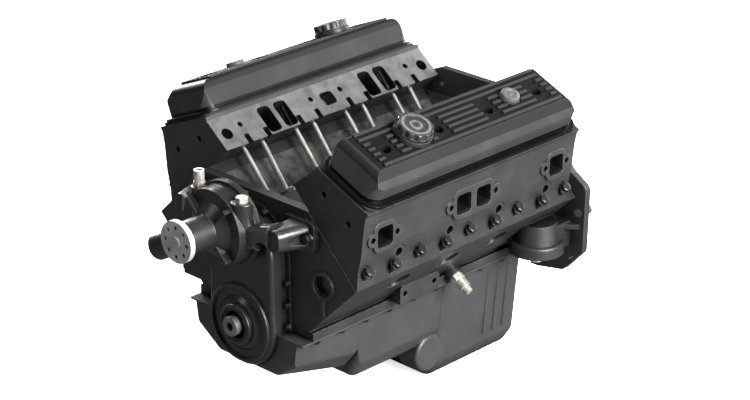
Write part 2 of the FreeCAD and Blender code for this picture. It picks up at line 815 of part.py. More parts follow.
def make_pistons():
    pistons = []
    for side, index in all_cylinders():
        pin_u, crank_pin = cylinder_state(side, index)
        y = side * cylinder_ys[index]
        top = pin_u + piston_pin_height
        r = bore_radius - piston_gap
        body = rod(r, (0, y, pin_u - piston_skirt), (0, y, top))
        hollow = rod(r - 5.5, (0, y, pin_u - piston_skirt - 1), (0, y, top - crown_thickness))
        bosses = rod(17.5, (0, y - r, pin_u), (0, y + r, pin_u)).cut(box(-20, 20, y - 12.5, y + 12.5, 0, 400))
        body = join([body.cut(hollow), bosses.common(body)])
        tools = [rod(wrist_pin_radius + seat_gap, (0, y - 60, pin_u), (0, y + 60, pin_u))]
        for height in ring_heights:
            groove = rod(r + 1, (0, y, top - height), (0, y, top - height + ring_thickness + 0.2))
            tools.append(groove.cut(rod(r - 4.3, (0, y, top - height - 1), (0, y, top - height + 4))))
        pistons.append(place(on_bank(cut(body, tools)), side))
    return group(pistons)


def make_piston_rings():
    rings = []
    for side, index in all_cylinders():
        pin_u, crank_pin = cylinder_state(side, index)
        y = side * cylinder_ys[index]
        for height in ring_heights:
            base = pin_u + piston_pin_height - height + 0.1
            ring = rod(bore_radius - ring_gap, (0, y, base), (0, y, base + ring_thickness))
            ring = ring.cut(rod(bore_radius - 4.0, (0, y, base - 1), (0, y, base + 3)))
            ring = ring.cut(box(-0.3, 0.3, y, y + 60, base - 1, base + 3))
            rings.append(place(on_bank(ring), side))
    return group(rings)


def make_wrist_pins():
    pins = []
    for side, index in all_cylinders():
        pin_u, crank_pin = cylinder_state(side, index)
        y = side * cylinder_ys[index]
        pin = rod(wrist_pin_radius, (0, y - 37, pin_u), (0, y + 37, pin_u))
        pin = pin.cut(rod(7.0, (0, y - 38, pin_u), (0, y + 38, pin_u)))
        pins.append(place(on_bank(pin), side))
    return group(pins)


def set_rod(shape, side, index):
    """Turn a piece made about an upright rod at the origin and set it on its crank pin."""
    pin_u, crank_pin = cylinder_state(side, index)
    x, z = bank_point(pin_u, 0)
    angle = math.degrees(math.atan2(side * x - crank_pin[0], z - crank_pin[1]))
    y = (left_centre_y if side > 0 else right_centre_y) + cylinder_ys[index]
    return shape.rotated(V(0, 0, 0), V(0, 1, 0), angle).translated(V(crank_pin[0], y, crank_pin[1]))


def rod_blank():
    half = rod_width / 2
    big = rod(big_end_radius, (0, -half, 0), (0, half, 0))
    shoulders = box(-rod_bolt_x - 6.5, rod_bolt_x + 6.5, -half, half, -15, 17)
    small = rod(small_end_radius, (0, -half, rod_length), (0, half, rod_length))
    beam = [(-17, 25), (17, 25), (9.5, rod_length - 12), (-9.5, rod_length - 12)]
    web = prism_y(beam, -8.5, 8.5)
    pocket = [(-8, 46), (8, 46), (4.5, rod_length - 26), (-4.5, rod_length - 26)]
    body = join([big, shoulders, small, web])
    holes = [rod(pin_journal_radius + running_gap, (0, -half - 1, 0), (0, half + 1, 0)),
             rod(wrist_pin_radius + running_gap, (0, -half - 1, rod_length), (0, half + 1, rod_length)),
             prism_y(pocket, 2.5, 12), prism_y(pocket, -12, -2.5)]
    for x in (-rod_bolt_x, rod_bolt_x):
        holes.append(rod(rod_bolt_radius + seat_gap, (x, 0, -40), (x, 0, 40)))
        spot = 1 if x > 0 else -1
        holes.append(box(min(x - spot * 5.7, x + spot * 12), max(x - spot * 5.7, x + spot * 12),
                         -half - 1, half + 1, 17, 34))
        holes.append(box(min(x - spot * 5.7, x + spot * 12), max(x - spot * 5.7, x + spot * 12),
                         -half - 1, half + 1, -34, -15))
    return cut(body, holes)


def make_rods():
    blank = rod_blank()
    upper = blank.cut(box(-60, 60, -20, 20, -60, 0.02))
    return group(set_rod(upper, side, index) for side, index in all_cylinders())


def make_rod_caps():
    blank = rod_blank()
    lower = blank.common(box(-60, 60, -20, 20, -60, -0.02))
    return group(set_rod(lower, side, index) for side, index in all_cylinders())


def make_rod_bolts():
    bolts = []
    for side, index in all_cylinders():
        for x in (-rod_bolt_x, rod_bolt_x):
            one = bolt((x, 0, -15), (0, 0, -1), rod_bolt_radius, 34.0, 9.5, 7.0)
            bolts.append(set_rod(one, side, index))
    return group(bolts)


# Valve train

pivot_s = valve_s - rocker_ratio * rocker_pushrod_arm
rocker_tip_drop = 5.0
pivot_h = valve_tip_h + rocker_tip_drop + 0.2
cup_drop = 8.3
spring_seat_h = -16.0
retainer_height = 6.0
stud_radius = 4.76
stud_top_h = pivot_h + 11.5


def make_lifters():
    lifters = []
    for side, index, kind, lifter_y, valve_y in all_valves():
        base = cam_u + lobe_base_radius + follower_lift(side, index, kind) + running_gap
        body = rod(lifter_radius, (lifter_v, lifter_y, base), (lifter_v, lifter_y, base + lifter_length))
        cup = rod(5.6, (lifter_v, lifter_y, base + lifter_length - lifter_cup_depth),
                  (lifter_v, lifter_y, base + lifter_length + 1))
        band = rod(lifter_radius + 1, (lifter_v, lifter_y, base + 22), (lifter_v, lifter_y, base + 30))
        band = band.cut(rod(lifter_radius - 0.8, (lifter_v, lifter_y, base + 20), (lifter_v, lifter_y,
                                                                                   base + 32)))
        foot = rod(lifter_radius + 1, (lifter_v, lifter_y, base - 1), (lifter_v, lifter_y,
                                                                       base + lifter_foot_length))
        foot = foot.cut(rod(lifter_foot_radius, (lifter_v, lifter_y, base - 2), (lifter_v, lifter_y,
                                                                                 base + 20)))
        lifters.append(place(on_bank(cut(body, [cup, band, foot])), side))
    return group(lifters)


def rocker_swing(side, index, kind):
    return math.asin(follower_lift(side, index, kind) / rocker_pushrod_arm)


def make_pushrods():
    pushrods = []
    for side, index, kind, lifter_y, valve_y in all_valves():
        lift = follower_lift(side, index, kind)
        u = cam_u + lobe_base_radius + lift + lifter_length - lifter_cup_depth + pushrod_radius + 0.3
        x0, z0 = bank_point(u, lifter_v)
        swing = rocker_swing(side, index, kind)
        s = pivot_s - rocker_pushrod_arm * math.cos(swing) - cup_drop * math.sin(swing)
        h = pivot_h + rocker_pushrod_arm * math.sin(swing) - cup_drop * math.cos(swing)
        x1, z1 = rail_point(s, h)
        start = (x0, lifter_y, z0)
        end = (x1, valve_y, z1)
        body = rod(pushrod_radius, start, end)
        balls = [Part.makeSphere(pushrod_radius, V(*start)), Part.makeSphere(pushrod_radius, V(*end))]
        pushrods.append(place(join([body] + balls), side))
    return group(pushrods)


def rocker_blank():
    side_view = [(-28, -4), (-29, 4), (-13, 9), (13, 9), (33, 4), (40, 0), (39, -4), (34, -5), (28, -3),
                 (12, -2), (-12, -2), (-18, -4)]
    body = prism_y(side_view, -9, 9)
    trough = prism_y([(-19, 1.0), (24, 1.0), (30, 12), (-22, 12)], -6.2, 6.2)
    slot = box(-7, 7, -5.2, 5.2, -4, 3)
    waist = [box(12, 45, 5.5, 12, -8, 12), box(12, 45, -12, -5.5, -8, 12)]
    return cut(body, [trough, slot] + waist)


def make_rockers():
    blank = rocker_blank()
    rockers = []
    for side, index, kind, lifter_y, valve_y in all_valves():
        angle = math.degrees(rocker_swing(side, index, kind))
        one = blank.rotated(V(0, 0, 0), V(0, 1, 0), angle).translated(V(pivot_s, valve_y, pivot_h))
        rockers.append(place(on_rail(one), side))
    return group(rockers)


def make_rocker_studs():
    studs = []
    for side, index, kind, lifter_y, valve_y in all_valves():
        body = rod(stud_radius, (pivot_s, valve_y, spring_seat_h - 18), (pivot_s, valve_y, stud_top_h))
        collar = hex_prism(14.0, 6.0, (pivot_s, valve_y, spring_seat_h + 12), (0, 0, 1))
        studs.append(place(on_rail(join([body, collar])), side))
    return group(studs)


def make_rocker_nuts():
    nuts = []
    for side, index, kind, lifter_y, valve_y in all_valves():
        centre = pivot_h + 1.0 + 5.6 + 0.55
        ball = Part.makeSphere(5.6, V(pivot_s, valve_y, centre))
        nut = hex_prism(10.0, stud_top_h - centre, (pivot_s, valve_y, centre), (0, 0, 1))
        hole = rod(stud_radius + seat_gap, (pivot_s, valve_y, pivot_h - 5), (pivot_s, valve_y,
                                                                             stud_top_h + 5))
        nuts.append(place(on_rail(join([ball, nut]).cut(hole)), side))
    return group(nuts)


def make_valves(wanted):
    valves = []
    head = intake_valve_radius if wanted == "intake" else exhaust_valve_radius
    for side, index, kind, lifter_y, valve_y in all_valves():
        if kind != wanted:
            continue
        tip = valve_tip_h - rocker_ratio * follower_lift(side, index, kind)
        face = tip - valve_length
        at = (valve_s, valve_y)
        pieces = [rod(head, at + (face,), at + (face + 3,)),
                  cone(head - 2.5, stem_radius, at + (face + 3,), at + (face + 15,)),
                  rod(stem_radius, at + (face + 14,), at + (tip,))]
        valves.append(place(on_rail(join(pieces)), side))
    return group(valves)


def spring_height(side, index, kind):
    return valve_tip_h - rocker_ratio * follower_lift(side, index,
                                                      kind) - retainer_height - spring_seat_h - 0.3


def make_springs():
    made = {}
    springs = []
    for side, index, kind, lifter_y, valve_y in all_valves():
        height = round(spring_height(side, index, kind), 3)
        if height not in made:
            run = height - 2 * spring_wire - 0.2
            mean = spring_radius - spring_wire - 0.4
            helix = Part.makeHelix(run / 5.0, run, mean)
            wire = Part.Wire([Part.Circle(V(mean, 0, 0), V(0, 1, 0), spring_wire).toShape()])
            solid = Part.Wire(helix.Edges).makePipeShell([wire], True, True)
            made[height] = solid.translated(V(0, 0, spring_wire + 0.1))
        one = made[height].translated(V(valve_s, valve_y, spring_seat_h + 0.1))
        springs.append(place(on_rail(one), side))
    return group(springs)


def make_retainers():
    retainers = []
    for side, index, kind, lifter_y, valve_y in all_valves():
        tip = valve_tip_h - rocker_ratio * follower_lift(side, index, kind)
        at = (valve_s, valve_y)
        disc = rod(spring_radius - 0.4, at + (tip - retainer_height,), at + (tip - retainer_height + 2.4,))
        neck = cone(9.5, 7.0, at + (tip - retainer_height + 2.4,), at + (tip - 1.6,))
        hole = rod(stem_radius + seat_gap, at + (tip - 20,), at + (tip + 2,))
        retainers.append(place(on_rail(join([disc, neck]).cut(hole)), side))
    return group(retainers)


# Cylinder heads

rail_wall = 9.0
pushrod_hole_radius = 7.0
mid_swing = math.radians(9.0)
chamber_radius = 47.0
chamber_depth = 9.0
intake_port_width = 26.0
intake_port_height = 48.0
exhaust_port_width = 33.0
exhaust_port_height = 33.0
exhaust_corner = 6.0
exhaust_pad_rim = 7.5
exhaust_pad_height = 3.2
exhaust_pad_fall = 0.012
intake_bolt_ys = [-186.0, -33.0, 33.0, 186.0]
exhaust_bolt_ys = [-219.0, -168.0, -50.0, 50.0, 168.0, 219.0]
manifold_bolt_radius = 4.8
coolant_hole_y = 1.0 * bore_pitch + 107.0
plug_hole_radius = 7.0
plug_thread_length = 19.0
plug_recess_radius = 13.0
notch_half_width = 5.0
notch_depth = 16.0


def intake_direction():
    a = math.radians(intake_face_angle)
    return (math.cos(a), math.sin(a))


def intake_face_point(up, inward):
    """A point on the intake face, up along it from the ports' centre and inward, square to it."""
    ex, ez = intake_direction()
    return (intake_port_x + up * ex + inward * ez, intake_port_z + up * ez - inward * ex)


def exhaust_face_outline():
    ex = math.sin(math.radians(6.0))
    ez = math.cos(math.radians(6.0))
    low = (exhaust_port_x - 21 * ex, exhaust_port_z - 21 * ez)
    high = (exhaust_port_x + 21 * ex, exhaust_port_z + 21 * ez)
    return low, high


def rounded_section(origin, along, across, half_a, half_b, radius):
    """A rounded rectangle wire at origin, with half sizes along two unit vectors."""
    o = V(*origin)
    a = V(*along)
    b = V(*across)
    edges = []
    corners = [(1, 1), (-1, 1), (-1, -1), (1, -1)]
    points = []
    for sa, sb in corners:
        centre = o + a * (sa * (half_a - radius)) + b * (sb * (half_b - radius))
        first = centre + (a * sa if sa * sb > 0 else b * sb) * radius
        last = centre + (b * sb if sa * sb > 0 else a * sa) * radius
        middle = centre + (a * sa + b * sb) * (radius / math.sqrt(2))
        points.append((first, middle, last))
    for i in range(4):
        first, middle, last = points[i]
        edges.append(Part.Arc(first, middle, last).toShape())
        edges.append(Part.LineSegment(last, points[(i + 1) % 4][0]).toShape())
    return Part.Wire(edges)


def intake_port(y, valve_y):
    ex, ez = intake_direction()
    x0, z0 = intake_face_point(0, -2)
    x1, z1 = intake_face_point(4, 44)
    throat = rail_point(valve_s, valve_tip_h - valve_length + 22)
    mouth = rounded_section((x0, y, z0), (ex, 0, ez), (0, 1, 0), intake_port_height / 2,
                            intake_port_width / 2, 7.0)
    inner = rounded_section((x1, y, z1), (ex, 0, ez), (0, 1, 0), intake_port_height / 2 - 8,
                            intake_port_width / 2, 7.0)
    duct = Part.makeLoft([mouth, inner], True, True)
    end = (throat[0], valve_y, throat[1])
    back = intake_face_point(4, 36)
    turn = rod(intake_port_width / 2, (back[0], y, back[1]), end)
    bulb = Part.makeSphere(intake_valve_radius - 4, V(*end))
    return [duct, turn, bulb]


def exhaust_port(y, valve_y):
    throat = rail_point(valve_s, valve_tip_h - valve_length + 22)
    low, high = exhaust_face_outline()
    length = math.hypot(high[0] - low[0], high[1] - low[1])
    ex, ez = (high[0] - low[0]) / length, (high[1] - low[1]) / length
    outward = (ez, -ex)
    x0, z0 = exhaust_port_x + 6 * outward[0], exhaust_port_z + 6 * outward[1]
    x1, z1 = exhaust_port_x - 26 * outward[0], exhaust_port_z - 26 * outward[1]
    mouth = rounded_section((x0, y, z0), (ex, 0, ez), (0, 1, 0), exhaust_port_height / 2,
                            exhaust_port_width / 2, exhaust_corner)
    inner = rounded_section((x1, y, z1), (ex, 0, ez), (0, 1, 0), exhaust_port_height / 2 - 3,
                            exhaust_port_width / 2 - 3, exhaust_corner)
    duct = Part.makeLoft([mouth, inner], True, True)
    end = (throat[0], valve_y, throat[1])
    turn = rod(13.0, (exhaust_port_x - 20 * outward[0], y, exhaust_port_z - 20 * outward[1]), end)
    bulb = Part.makeSphere(exhaust_valve_radius - 3.5, V(*end))
    return [duct, turn, bulb]


def valve_places():
    """Index, kind and valve y about the bank's middle, for the casting both banks share."""
    for index in range(4):
        for which, kind in enumerate(valve_kinds(index)):
            yield index, kind, cylinder_ys[index] + (2 * which - 1) * valve_spacing


def intake_port_y(index):
    middle = -bore_pitch if index in (0, 1) else bore_pitch
    return middle - intake_port_pair if index in (0, 2) else middle + intake_port_pair


def exhaust_port_y(index):
    return (-exhaust_port_outer, -exhaust_port_inner, exhaust_port_inner, exhaust_port_outer)[index]


def head_body():
    low, high = exhaust_face_outline()
    inner = bank_point(head_bottom_u, head_inner_v)
    outer = bank_point(head_bottom_u, deck_outer_v)
    face_top = intake_face_point(31, 0)
    points = [inner, outer, (outer[0] + 2, outer[1] + 30), low, high, rail_point(rail_width, -9),
              rail_point(rail_width + 1.5, 0), rail_point(0, 0), face_top]
    body = prism_y(points, -half_head, half_head)
    hollow = on_rail(box(rail_wall, rail_width - rail_wall, -half_head + 9.5, half_head - 9.5,
                         spring_seat_h, 10))
    return body.cut(hollow)


def head_bosses():
    """Rocker stud bosses inside the rail, and the cast brows over the exhaust ports."""
    pieces = []
    for index, kind, y in valve_places():
        pieces.append(on_rail(rod(9.0, (pivot_s, y, spring_seat_h - 2), (pivot_s, y, spring_seat_h + 12))))
    out = V(1, 0, -exhaust_pad_fall).normalize()
    up = V(exhaust_pad_fall, 0, 1).normalize()
    half_high = exhaust_port_height / 2 + exhaust_pad_rim
    half_wide = exhaust_port_width / 2 + exhaust_pad_rim
    pads = [(-exhaust_port_outer, half_wide), (0.0, exhaust_port_inner + half_wide), (exhaust_port_outer,
                                                                                      half_wide)]
    for y, half in pads:
        start = V(exhaust_port_x, y, exhaust_port_z) - out * 22
        wire = rounded_section(tuple(start), tuple(up), (0, 1, 0), half_high, half, 15.0)
        pieces.append(Part.Face(wire).extrude(out * (22 + exhaust_pad_height)))
    for y in exhaust_bolt_ys:
        start = V(exhaust_port_x, y, exhaust_port_z) - out * 22
        pieces.append(rod(10.5, tuple(start), tuple(start + out * (22 + exhaust_pad_height))))
    return pieces


def bank_axis_rod(radius, v, y, u0, u1):
    return on_bank(rod(radius, (v, y, u0), (v, y, u1)))


def make_head():
    body = join([head_body()] + head_bosses())
    tools = []
    for index, kind, y in valve_places():
        head = intake_valve_radius if kind == "intake" else exhaust_valve_radius
        face = valve_tip_h - valve_length
        tools.append(on_rail(rod(head + 1.5, (valve_s, y, face - 32), (valve_s, y, face + 3.3))))
        tools.append(on_rail(rod(head - 2.0, (valve_s, y, face + 3), (valve_s, y, face + 24))))
        tools.append(on_rail(rod(stem_radius + running_gap, (valve_s, y, face), (valve_s, y,
                                                                                 spring_seat_h + 2))))
        tools.append(on_rail(rod(stud_radius + seat_gap, (pivot_s, y, spring_seat_h - 18),
                                 (pivot_s, y, spring_seat_h + 14))))
        if kind == "intake":
            tools += intake_port(intake_port_y(index), y)
        else:
            tools += exhaust_port(exhaust_port_y(index), y)
    for index, y in enumerate(cylinder_ys):
        tools.append(bank_axis_rod(chamber_radius, 0, y, head_bottom_u - 1, head_bottom_u + chamber_depth))
        for sign in (-1, 1):
            lifter = bank_point(gallery_floor_u, lifter_v)
            cup = rail_point(pivot_s - rocker_pushrod_arm * math.cos(mid_swing) - cup_drop * math.sin(mid_swing),
                             pivot_h + rocker_pushrod_arm * math.sin(mid_swing) - cup_drop * math.cos(mid_swing))
            start = (lifter[0], y + sign * lifter_spacing, lifter[1])
            end = (cup[0], y + sign * valve_spacing, cup[1])
            tools.append(rod(pushrod_hole_radius, start, end))
            middle = y + sign * (lifter_spacing + valve_spacing) / 2
            tools.append(on_bank(box(head_inner_v - 3, head_inner_v + notch_depth, middle - notch_half_width,
                                     middle + notch_half_width, head_bottom_u - 1, head_bottom_u + notch_depth)))
        tools.append(bank_axis_rod(head_bolt_radius + seat_gap, side_bolt_v, y, head_bottom_u - 1,
                                   lower_bolt_seat_u + 1))
        tools.append(bank_axis_rod(11.0, side_bolt_v, y, lower_bolt_seat_u, lower_bolt_seat_u + 60))
        plug_y = y + 14
        inside = bank_point(head_bottom_u + 6, 22)
        outside = (exhaust_port_x + 6, exhaust_port_z - 42)
        tools.append(rod(plug_hole_radius, (inside[0], plug_y, inside[1]), (outside[0], plug_y, outside[1])))
        a = V(inside[0], plug_y, inside[1])
        b = V(outside[0], plug_y, outside[1])
        step = (b - a).normalize()
        tools.append(rod(plug_recess_radius, tuple(b - step * 13), tuple(b + step * 10)))
        tools.append(rod(plug_hole_radius + 1.2, tuple(a), tuple(b - step * (13 + plug_thread_length))))
    for y in bolt_row_ys:
        tools.append(bank_axis_rod(head_bolt_radius + seat_gap, upper_bolt_v, y, head_bottom_u - 1,
                                   upper_bolt_seat_u + 1))
        tools.append(bank_axis_rod(11.0, upper_bolt_v, y, upper_bolt_seat_u, upper_bolt_seat_u + 40))
        tools.append(bank_axis_rod(head_bolt_radius + seat_gap, lower_bolt_v, y, head_bottom_u - 1,
                                   lower_bolt_seat_u + 1))
        tools.append(bank_axis_rod(11.0, lower_bolt_v, y, lower_bolt_seat_u, lower_bolt_seat_u + 60))
    ex, ez = intake_direction()
    def drill(up, y, depth, radius):
        a = intake_face_point(up, -2)
        b = intake_face_point(up, depth)
        return rod(radius, (a[0], y, a[1]), (b[0], y, b[1]))
    for y in intake_bolt_ys:
        tools.append(drill(8, y, 20, manifold_bolt_radius))
    for y in (-coolant_hole_y, coolant_hole_y):
        tools.append(drill(0, y, 26, 10.0))
    x0, z0 = intake_face_point(0, -2)
    x1, z1 = intake_face_point(0, 24)
    mouth = rounded_section((x0, 0, z0), (ex, 0, ez), (0, 1, 0), 12, 14, 6.0)
    inner = rounded_section((x1, 0, z1), (ex, 0, ez), (0, 1, 0), 11, 13, 6.0)
    tools.append(Part.makeLoft([mouth, inner], True, True))
    for y in exhaust_bolt_ys:
        tools.append(rod(manifold_bolt_radius, (exhaust_port_x - 14, y, exhaust_port_z),
                         (exhaust_port_x + 6, y, exhaust_port_z)))
    for end in (-1, 1):
        for s, h in ((30, -30), (88, -40)):
            x, z = rail_point(s, h)
            tools.append(rod(4.8, (x, end * (half_head - 18), z), (x, end * (half_head + 2), z)))
    for y in (-coolant_hole_y, coolant_hole_y):
        tools.append(bank_axis_rod(7.0, -12, y, head_bottom_u - 1, head_bottom_u + 30))
    return cut(body, tools)


def make_head_gaskets():
    sheet = box(deck_inner_v, deck_outer_v, -half_head, half_head, deck_height, head_bottom_u)
    holes = [rod(bore_radius + 1.2, (0, y, deck_height - 1), (0, y, head_bottom_u + 1)) for y in cylinder_ys]
    holes += [rod(6.5, (side_bolt_v, y, deck_height - 1), (side_bolt_v, y,
                                                           head_bottom_u + 1)) for y in cylinder_ys]
    for y in bolt_row_ys:
        for v in (upper_bolt_v, lower_bolt_v):
            holes.append(rod(6.5, (v, y, deck_height - 1), (v, y, head_bottom_u + 1)))
    return group(both_banks(on_bank(cut(sheet, holes))))


def make_head_bolts():
    bolts = []
    def one(v, y, seat_u):
        length = seat_u - jacket_top_u + 8
        return on_bank(bolt((v, y, seat_u), (0, 0, 1), head_bolt_radius, length, 14.0, 8.0, 9.0))
    for y in bolt_row_ys:
        bolts += both_banks(one(upper_bolt_v, y, upper_bolt_seat_u))
        bolts += both_banks(one(lower_bolt_v, y, lower_bolt_seat_u))
    for y in cylinder_ys:
        bolts += both_banks(one(side_bolt_v, y, lower_bolt_seat_u))
    return group(bolts)


# Valve covers, in rail coordinates about the middle of the bank

cover_base = (3.0, 108.0)
cover_shoulder_s = 87.0
cover_shoulder_h = 31.0
cover_base_end = 230.0
cover_top_end = 214.0
cover_round = 7.0
cover_nose = 16.0
cover_corner = 24.0
cover_bolt_s = 55.0
cover_bolt_seat_h = 34.0
cover_bolt_radius = 3.2
cover_boss_top_h = 22.0
filler_s = 50.0
filler_y = -107.0
filler_pad_radius = 30.0
filler_pad_h = 64.0
filler_hole_radius = 16.0
filler_cap_radius = 28.5
filler_cap_height = 13.0
breather_y = 110.0
breather_pad_radius = 17.0
breather_pad_h = 57.5
breather_hole_radius = 10.0
breather_cap_radius = 15.0
rib_count = 7
rib_first_s = 15.0
rib_last_s = 83.0
rib_height = 4.0
rib_width = 5.0
rib_end = 198.0


def cover_form(inset, base_h):
    """The cover's outer or inner form: its cross section, its plan and its side view, met in one solid."""
    top = cover_height - inset
    section = [(cover_base[0] + inset, base_h), (cover_base[0] + 6 + inset, top),
               (cover_shoulder_s - inset / 2, top),
               (cover_base[1] - inset, cover_shoulder_h), (cover_base[1] - inset, base_h)]
    body = prism_y(section, -cover_base_end - 5, cover_base_end + 5)
    long_edges = [e for e in body.Edges if abs(e.tangentAt(0).y) > 0.9 and e.BoundBox.ZMin > base_h + 5]
    body = body.makeFillet(cover_round - inset, long_edges)
    middle = (cover_base[0] + cover_base[1]) / 2
    plan = rounded_section((middle, 0, base_h), (1, 0, 0), (0, 1, 0),
                           (cover_base[1] - cover_base[0]) / 2 - inset,
                           cover_base_end - inset, cover_corner - inset)
    block = Part.Face(plan).extrude(V(0, 0, top - base_h + 5))
    low_end = cover_base_end - inset
    top_end = cover_top_end - inset
    side = polygon([(-5, -low_end, base_h), (-5, low_end, base_h), (-5, low_end, 12), (-5, top_end, top),
                    (-5, -top_end, top), (-5, -low_end, 12)])
    ends = Part.Face(side).extrude(V(rail_width + 20, 0, 0))
    crests = [e for e in ends.Edges if abs(e.tangentAt(0).x) > 0.9 and e.BoundBox.ZMin > top - 0.1]
    ends = ends.makeFillet(cover_nose - inset, crests)
    return body.common(block).common(ends)


def rib_runs(s):
    """Stretches of one rib along the cover, broken at the bolts and at the two openings."""
    gaps = []
    for y in cylinder_ys:
        if abs(s - cover_bolt_s) < 20:
            gaps.append((y - 17, y + 17))
    reach = filler_pad_radius + 2
    if abs(s - filler_s) < reach:
        half = math.sqrt(reach ** 2 - (s - filler_s) ** 2)
        gaps.append((filler_y - half, filler_y + half))
    reach = breather_pad_radius + 2
    if abs(s - filler_s) < reach:
        half = math.sqrt(reach ** 2 - (s - filler_s) ** 2)
        gaps.append((breather_y - half, breather_y + half))
    runs = []
    start = -rib_end
    for a, b in sorted(gaps):
        if a - start > 4:
            runs.append((start, a))
        start = max(start, b)
    runs.append((start, rib_end))
    return runs


def make_valve_cover():
    outer = cover_form(0, cover_gasket)
    plate = rounded_section(((rail_width / 2), 0, cover_gasket), (1, 0, 0), (0, 1, 0), rail_width / 2 + 3.0,
                            half_head - 2.0, cover_corner + 4)
    flange = Part.Face(plate).extrude(V(0, 0, cover_flange))
    pieces = [outer, flange]
    pieces.append(rod(filler_pad_radius, (filler_s, filler_y, cover_height - 8), (filler_s, filler_y,
                                                                                  filler_pad_h)))
    pieces.append(rod(breather_pad_radius, (filler_s, breather_y, cover_height - 8),
                      (filler_s, breather_y, breather_pad_h)))
    for i in range(rib_count):
        s = rib_first_s + (rib_last_s - rib_first_s) * i / (rib_count - 1)
        for y0, y1 in rib_runs(s):
            rib = box(s - rib_width / 2, s + rib_width / 2, y0, y1, cover_height - 1,
                      cover_height + rib_height)
            crest = [e for e in rib.Edges if e.BoundBox.ZMin > cover_height + rib_height - 0.1]
            pieces.append(rib.makeFillet(1.4, crest))
    body = join(pieces)
    inner = cover_form(cover_wall, cover_gasket - 1)
    wells = [rod(12.0, (cover_bolt_s, y, cover_bolt_seat_h - 3), (cover_bolt_s, y, cover_height))
             for y in cylinder_ys]
    body = join([body.cut(inner)] + wells)
    tools = [rod(filler_hole_radius, (filler_s, filler_y, 30), (filler_s, filler_y, 80)),
             box(filler_s - 4.5, filler_s + 4.5, filler_y - 20, filler_y + 20, 40, 80),
             rod(breather_hole_radius, (filler_s, breather_y, 30), (filler_s, breather_y, 80))]
    for y in cylinder_ys:
        tools.append(rod(9.5, (cover_bolt_s, y, cover_bolt_seat_h), (cover_bolt_s, y, 80)))
        tools.append(rod(cover_bolt_radius + 0.6, (cover_bolt_s, y, 20), (cover_bolt_s, y, 80)))
    return cut(body, tools)


def make_cover_gaskets():
    outer = rounded_section((rail_width / 2, 0, 0), (1, 0, 0), (0, 1, 0), rail_width / 2, half_head - 3.0,
                            12.0)
    sheet = Part.Face(outer).extrude(V(0, 0, cover_gasket))
    inner = rounded_section((rail_width / 2, 0, -1), (1, 0, 0), (0, 1, 0), rail_width / 2 - rail_wall + 1.5,
                            half_head - 12.0, 6.0)
    sheet = sheet.cut(Part.Face(inner).extrude(V(0, 0, cover_gasket + 2)))
    return group(both_banks(on_rail(sheet)))


def cover_bolt_bosses():
    """Bosses standing in the head between the rockers, that the cover bolts screw into."""
    bosses = []
    for y in cylinder_ys:
        post = rod(7.5, (cover_bolt_s, y, spring_seat_h - 1), (cover_bolt_s, y, cover_boss_top_h))
        bosses.append(on_rail(post))
    return bosses


def cover_bolt_holes():
    return [on_rail(rod(cover_bolt_radius + seat_gap, (cover_bolt_s, y, cover_boss_top_h - 24),
                        (cover_bolt_s, y, cover_boss_top_h + 1))) for y in cylinder_ys]


def make_cover_bolts():
    bolts = []
    for y in cylinder_ys:
        one = bolt((cover_bolt_s, y, cover_bolt_seat_h), (0, 0, 1), cover_bolt_radius,
                   cover_bolt_seat_h - cover_boss_top_h + 20, 10.0, 7.0, 8.0)
        bolts += both_banks(on_rail(one))
    return group(bolts)


def make_filler_cap():
    """A quarter-turn cap; its two lugs pass the cover's slots when it is turned by 90 degrees."""
    base = filler_pad_h + 0.2
    disc = rod(filler_cap_radius, (filler_s, filler_y, base), (filler_s, filler_y, base + filler_cap_height))
    grips = []
    for i in range(12):
        a = math.radians(30 * i + 15)
        x = filler_s + (filler_cap_radius + 4) * math.cos(a)
        y = filler_y + (filler_cap_radius + 4) * math.sin(a)
        grips.append(rod(6.5, (x, y, base + 2.5), (x, y, base + filler_cap_height + 1)))
    top = rod(filler_cap_radius - 8, (filler_s, filler_y, base + filler_cap_height - 2),
              (filler_s, filler_y, base + filler_cap_height + 1))
    neck = rod(filler_hole_radius - running_gap, (filler_s, filler_y, 46), (filler_s, filler_y, base + 1))
    well = rod(filler_hole_radius - 3, (filler_s, filler_y, 45), (filler_s, filler_y, base - 2))
    lugs = box(filler_s - 19.0, filler_s + 19.0, filler_y - 3.6, filler_y + 3.6, 46, 50)
    lugs = lugs.cut(rod(filler_hole_radius - 3, (filler_s, filler_y, 40), (filler_s, filler_y, 55)))
    body = join([disc.cut(group(grips)), neck])
    return join([cut(body, [top, well]), lugs])


def make_breather_plugs():
    cap = rod(breather_cap_radius, (filler_s, breather_y, breather_pad_h), (filler_s, breather_y,
                                                                            breather_pad_h + 8))
    edges = [e for e in cap.Edges if e.BoundBox.ZMin > breather_pad_h + 7]
    cap = cap.makeFillet(2.5, edges)
    neck = rod(breather_hole_radius - seat_gap, (filler_s, breather_y, 47), (filler_s, breather_y,
                                                                             breather_pad_h + 1))
    return group(both_banks(on_rail(join([cap, neck]))))


# Timing cover

timing_low_radius = 70.0
timing_high_radius = 68.0
timing_flange_reach = 10.0
nose_radius = 44.0


def hull_outline(grow, y):
    """Wire round two circles, the lower about the crank and the upper about the cam."""
    r0 = timing_low_radius + grow
    r1 = timing_high_radius + grow
    tilt = math.asin((r0 - r1) / cam_height)
    cx, cz = math.cos(tilt), math.sin(tilt)
    right_low = V(r0 * cx, y, r0 * cz)
    right_high = V(r1 * cx, y, cam_height + r1 * cz)
    left_high = V(-r1 * cx, y, cam_height + r1 * cz)
    left_low = V(-r0 * cx, y, r0 * cz)
    edges = [Part.LineSegment(right_low, right_high).toShape(),
             Part.Arc(right_high, V(0, y, cam_height + r1), left_high).toShape(),
             Part.LineSegment(left_high, left_low).toShape(),
             Part.Arc(left_low, V(0, y, -r0), right_low).toShape()]
    return Part.Face(Part.Wire(edges))


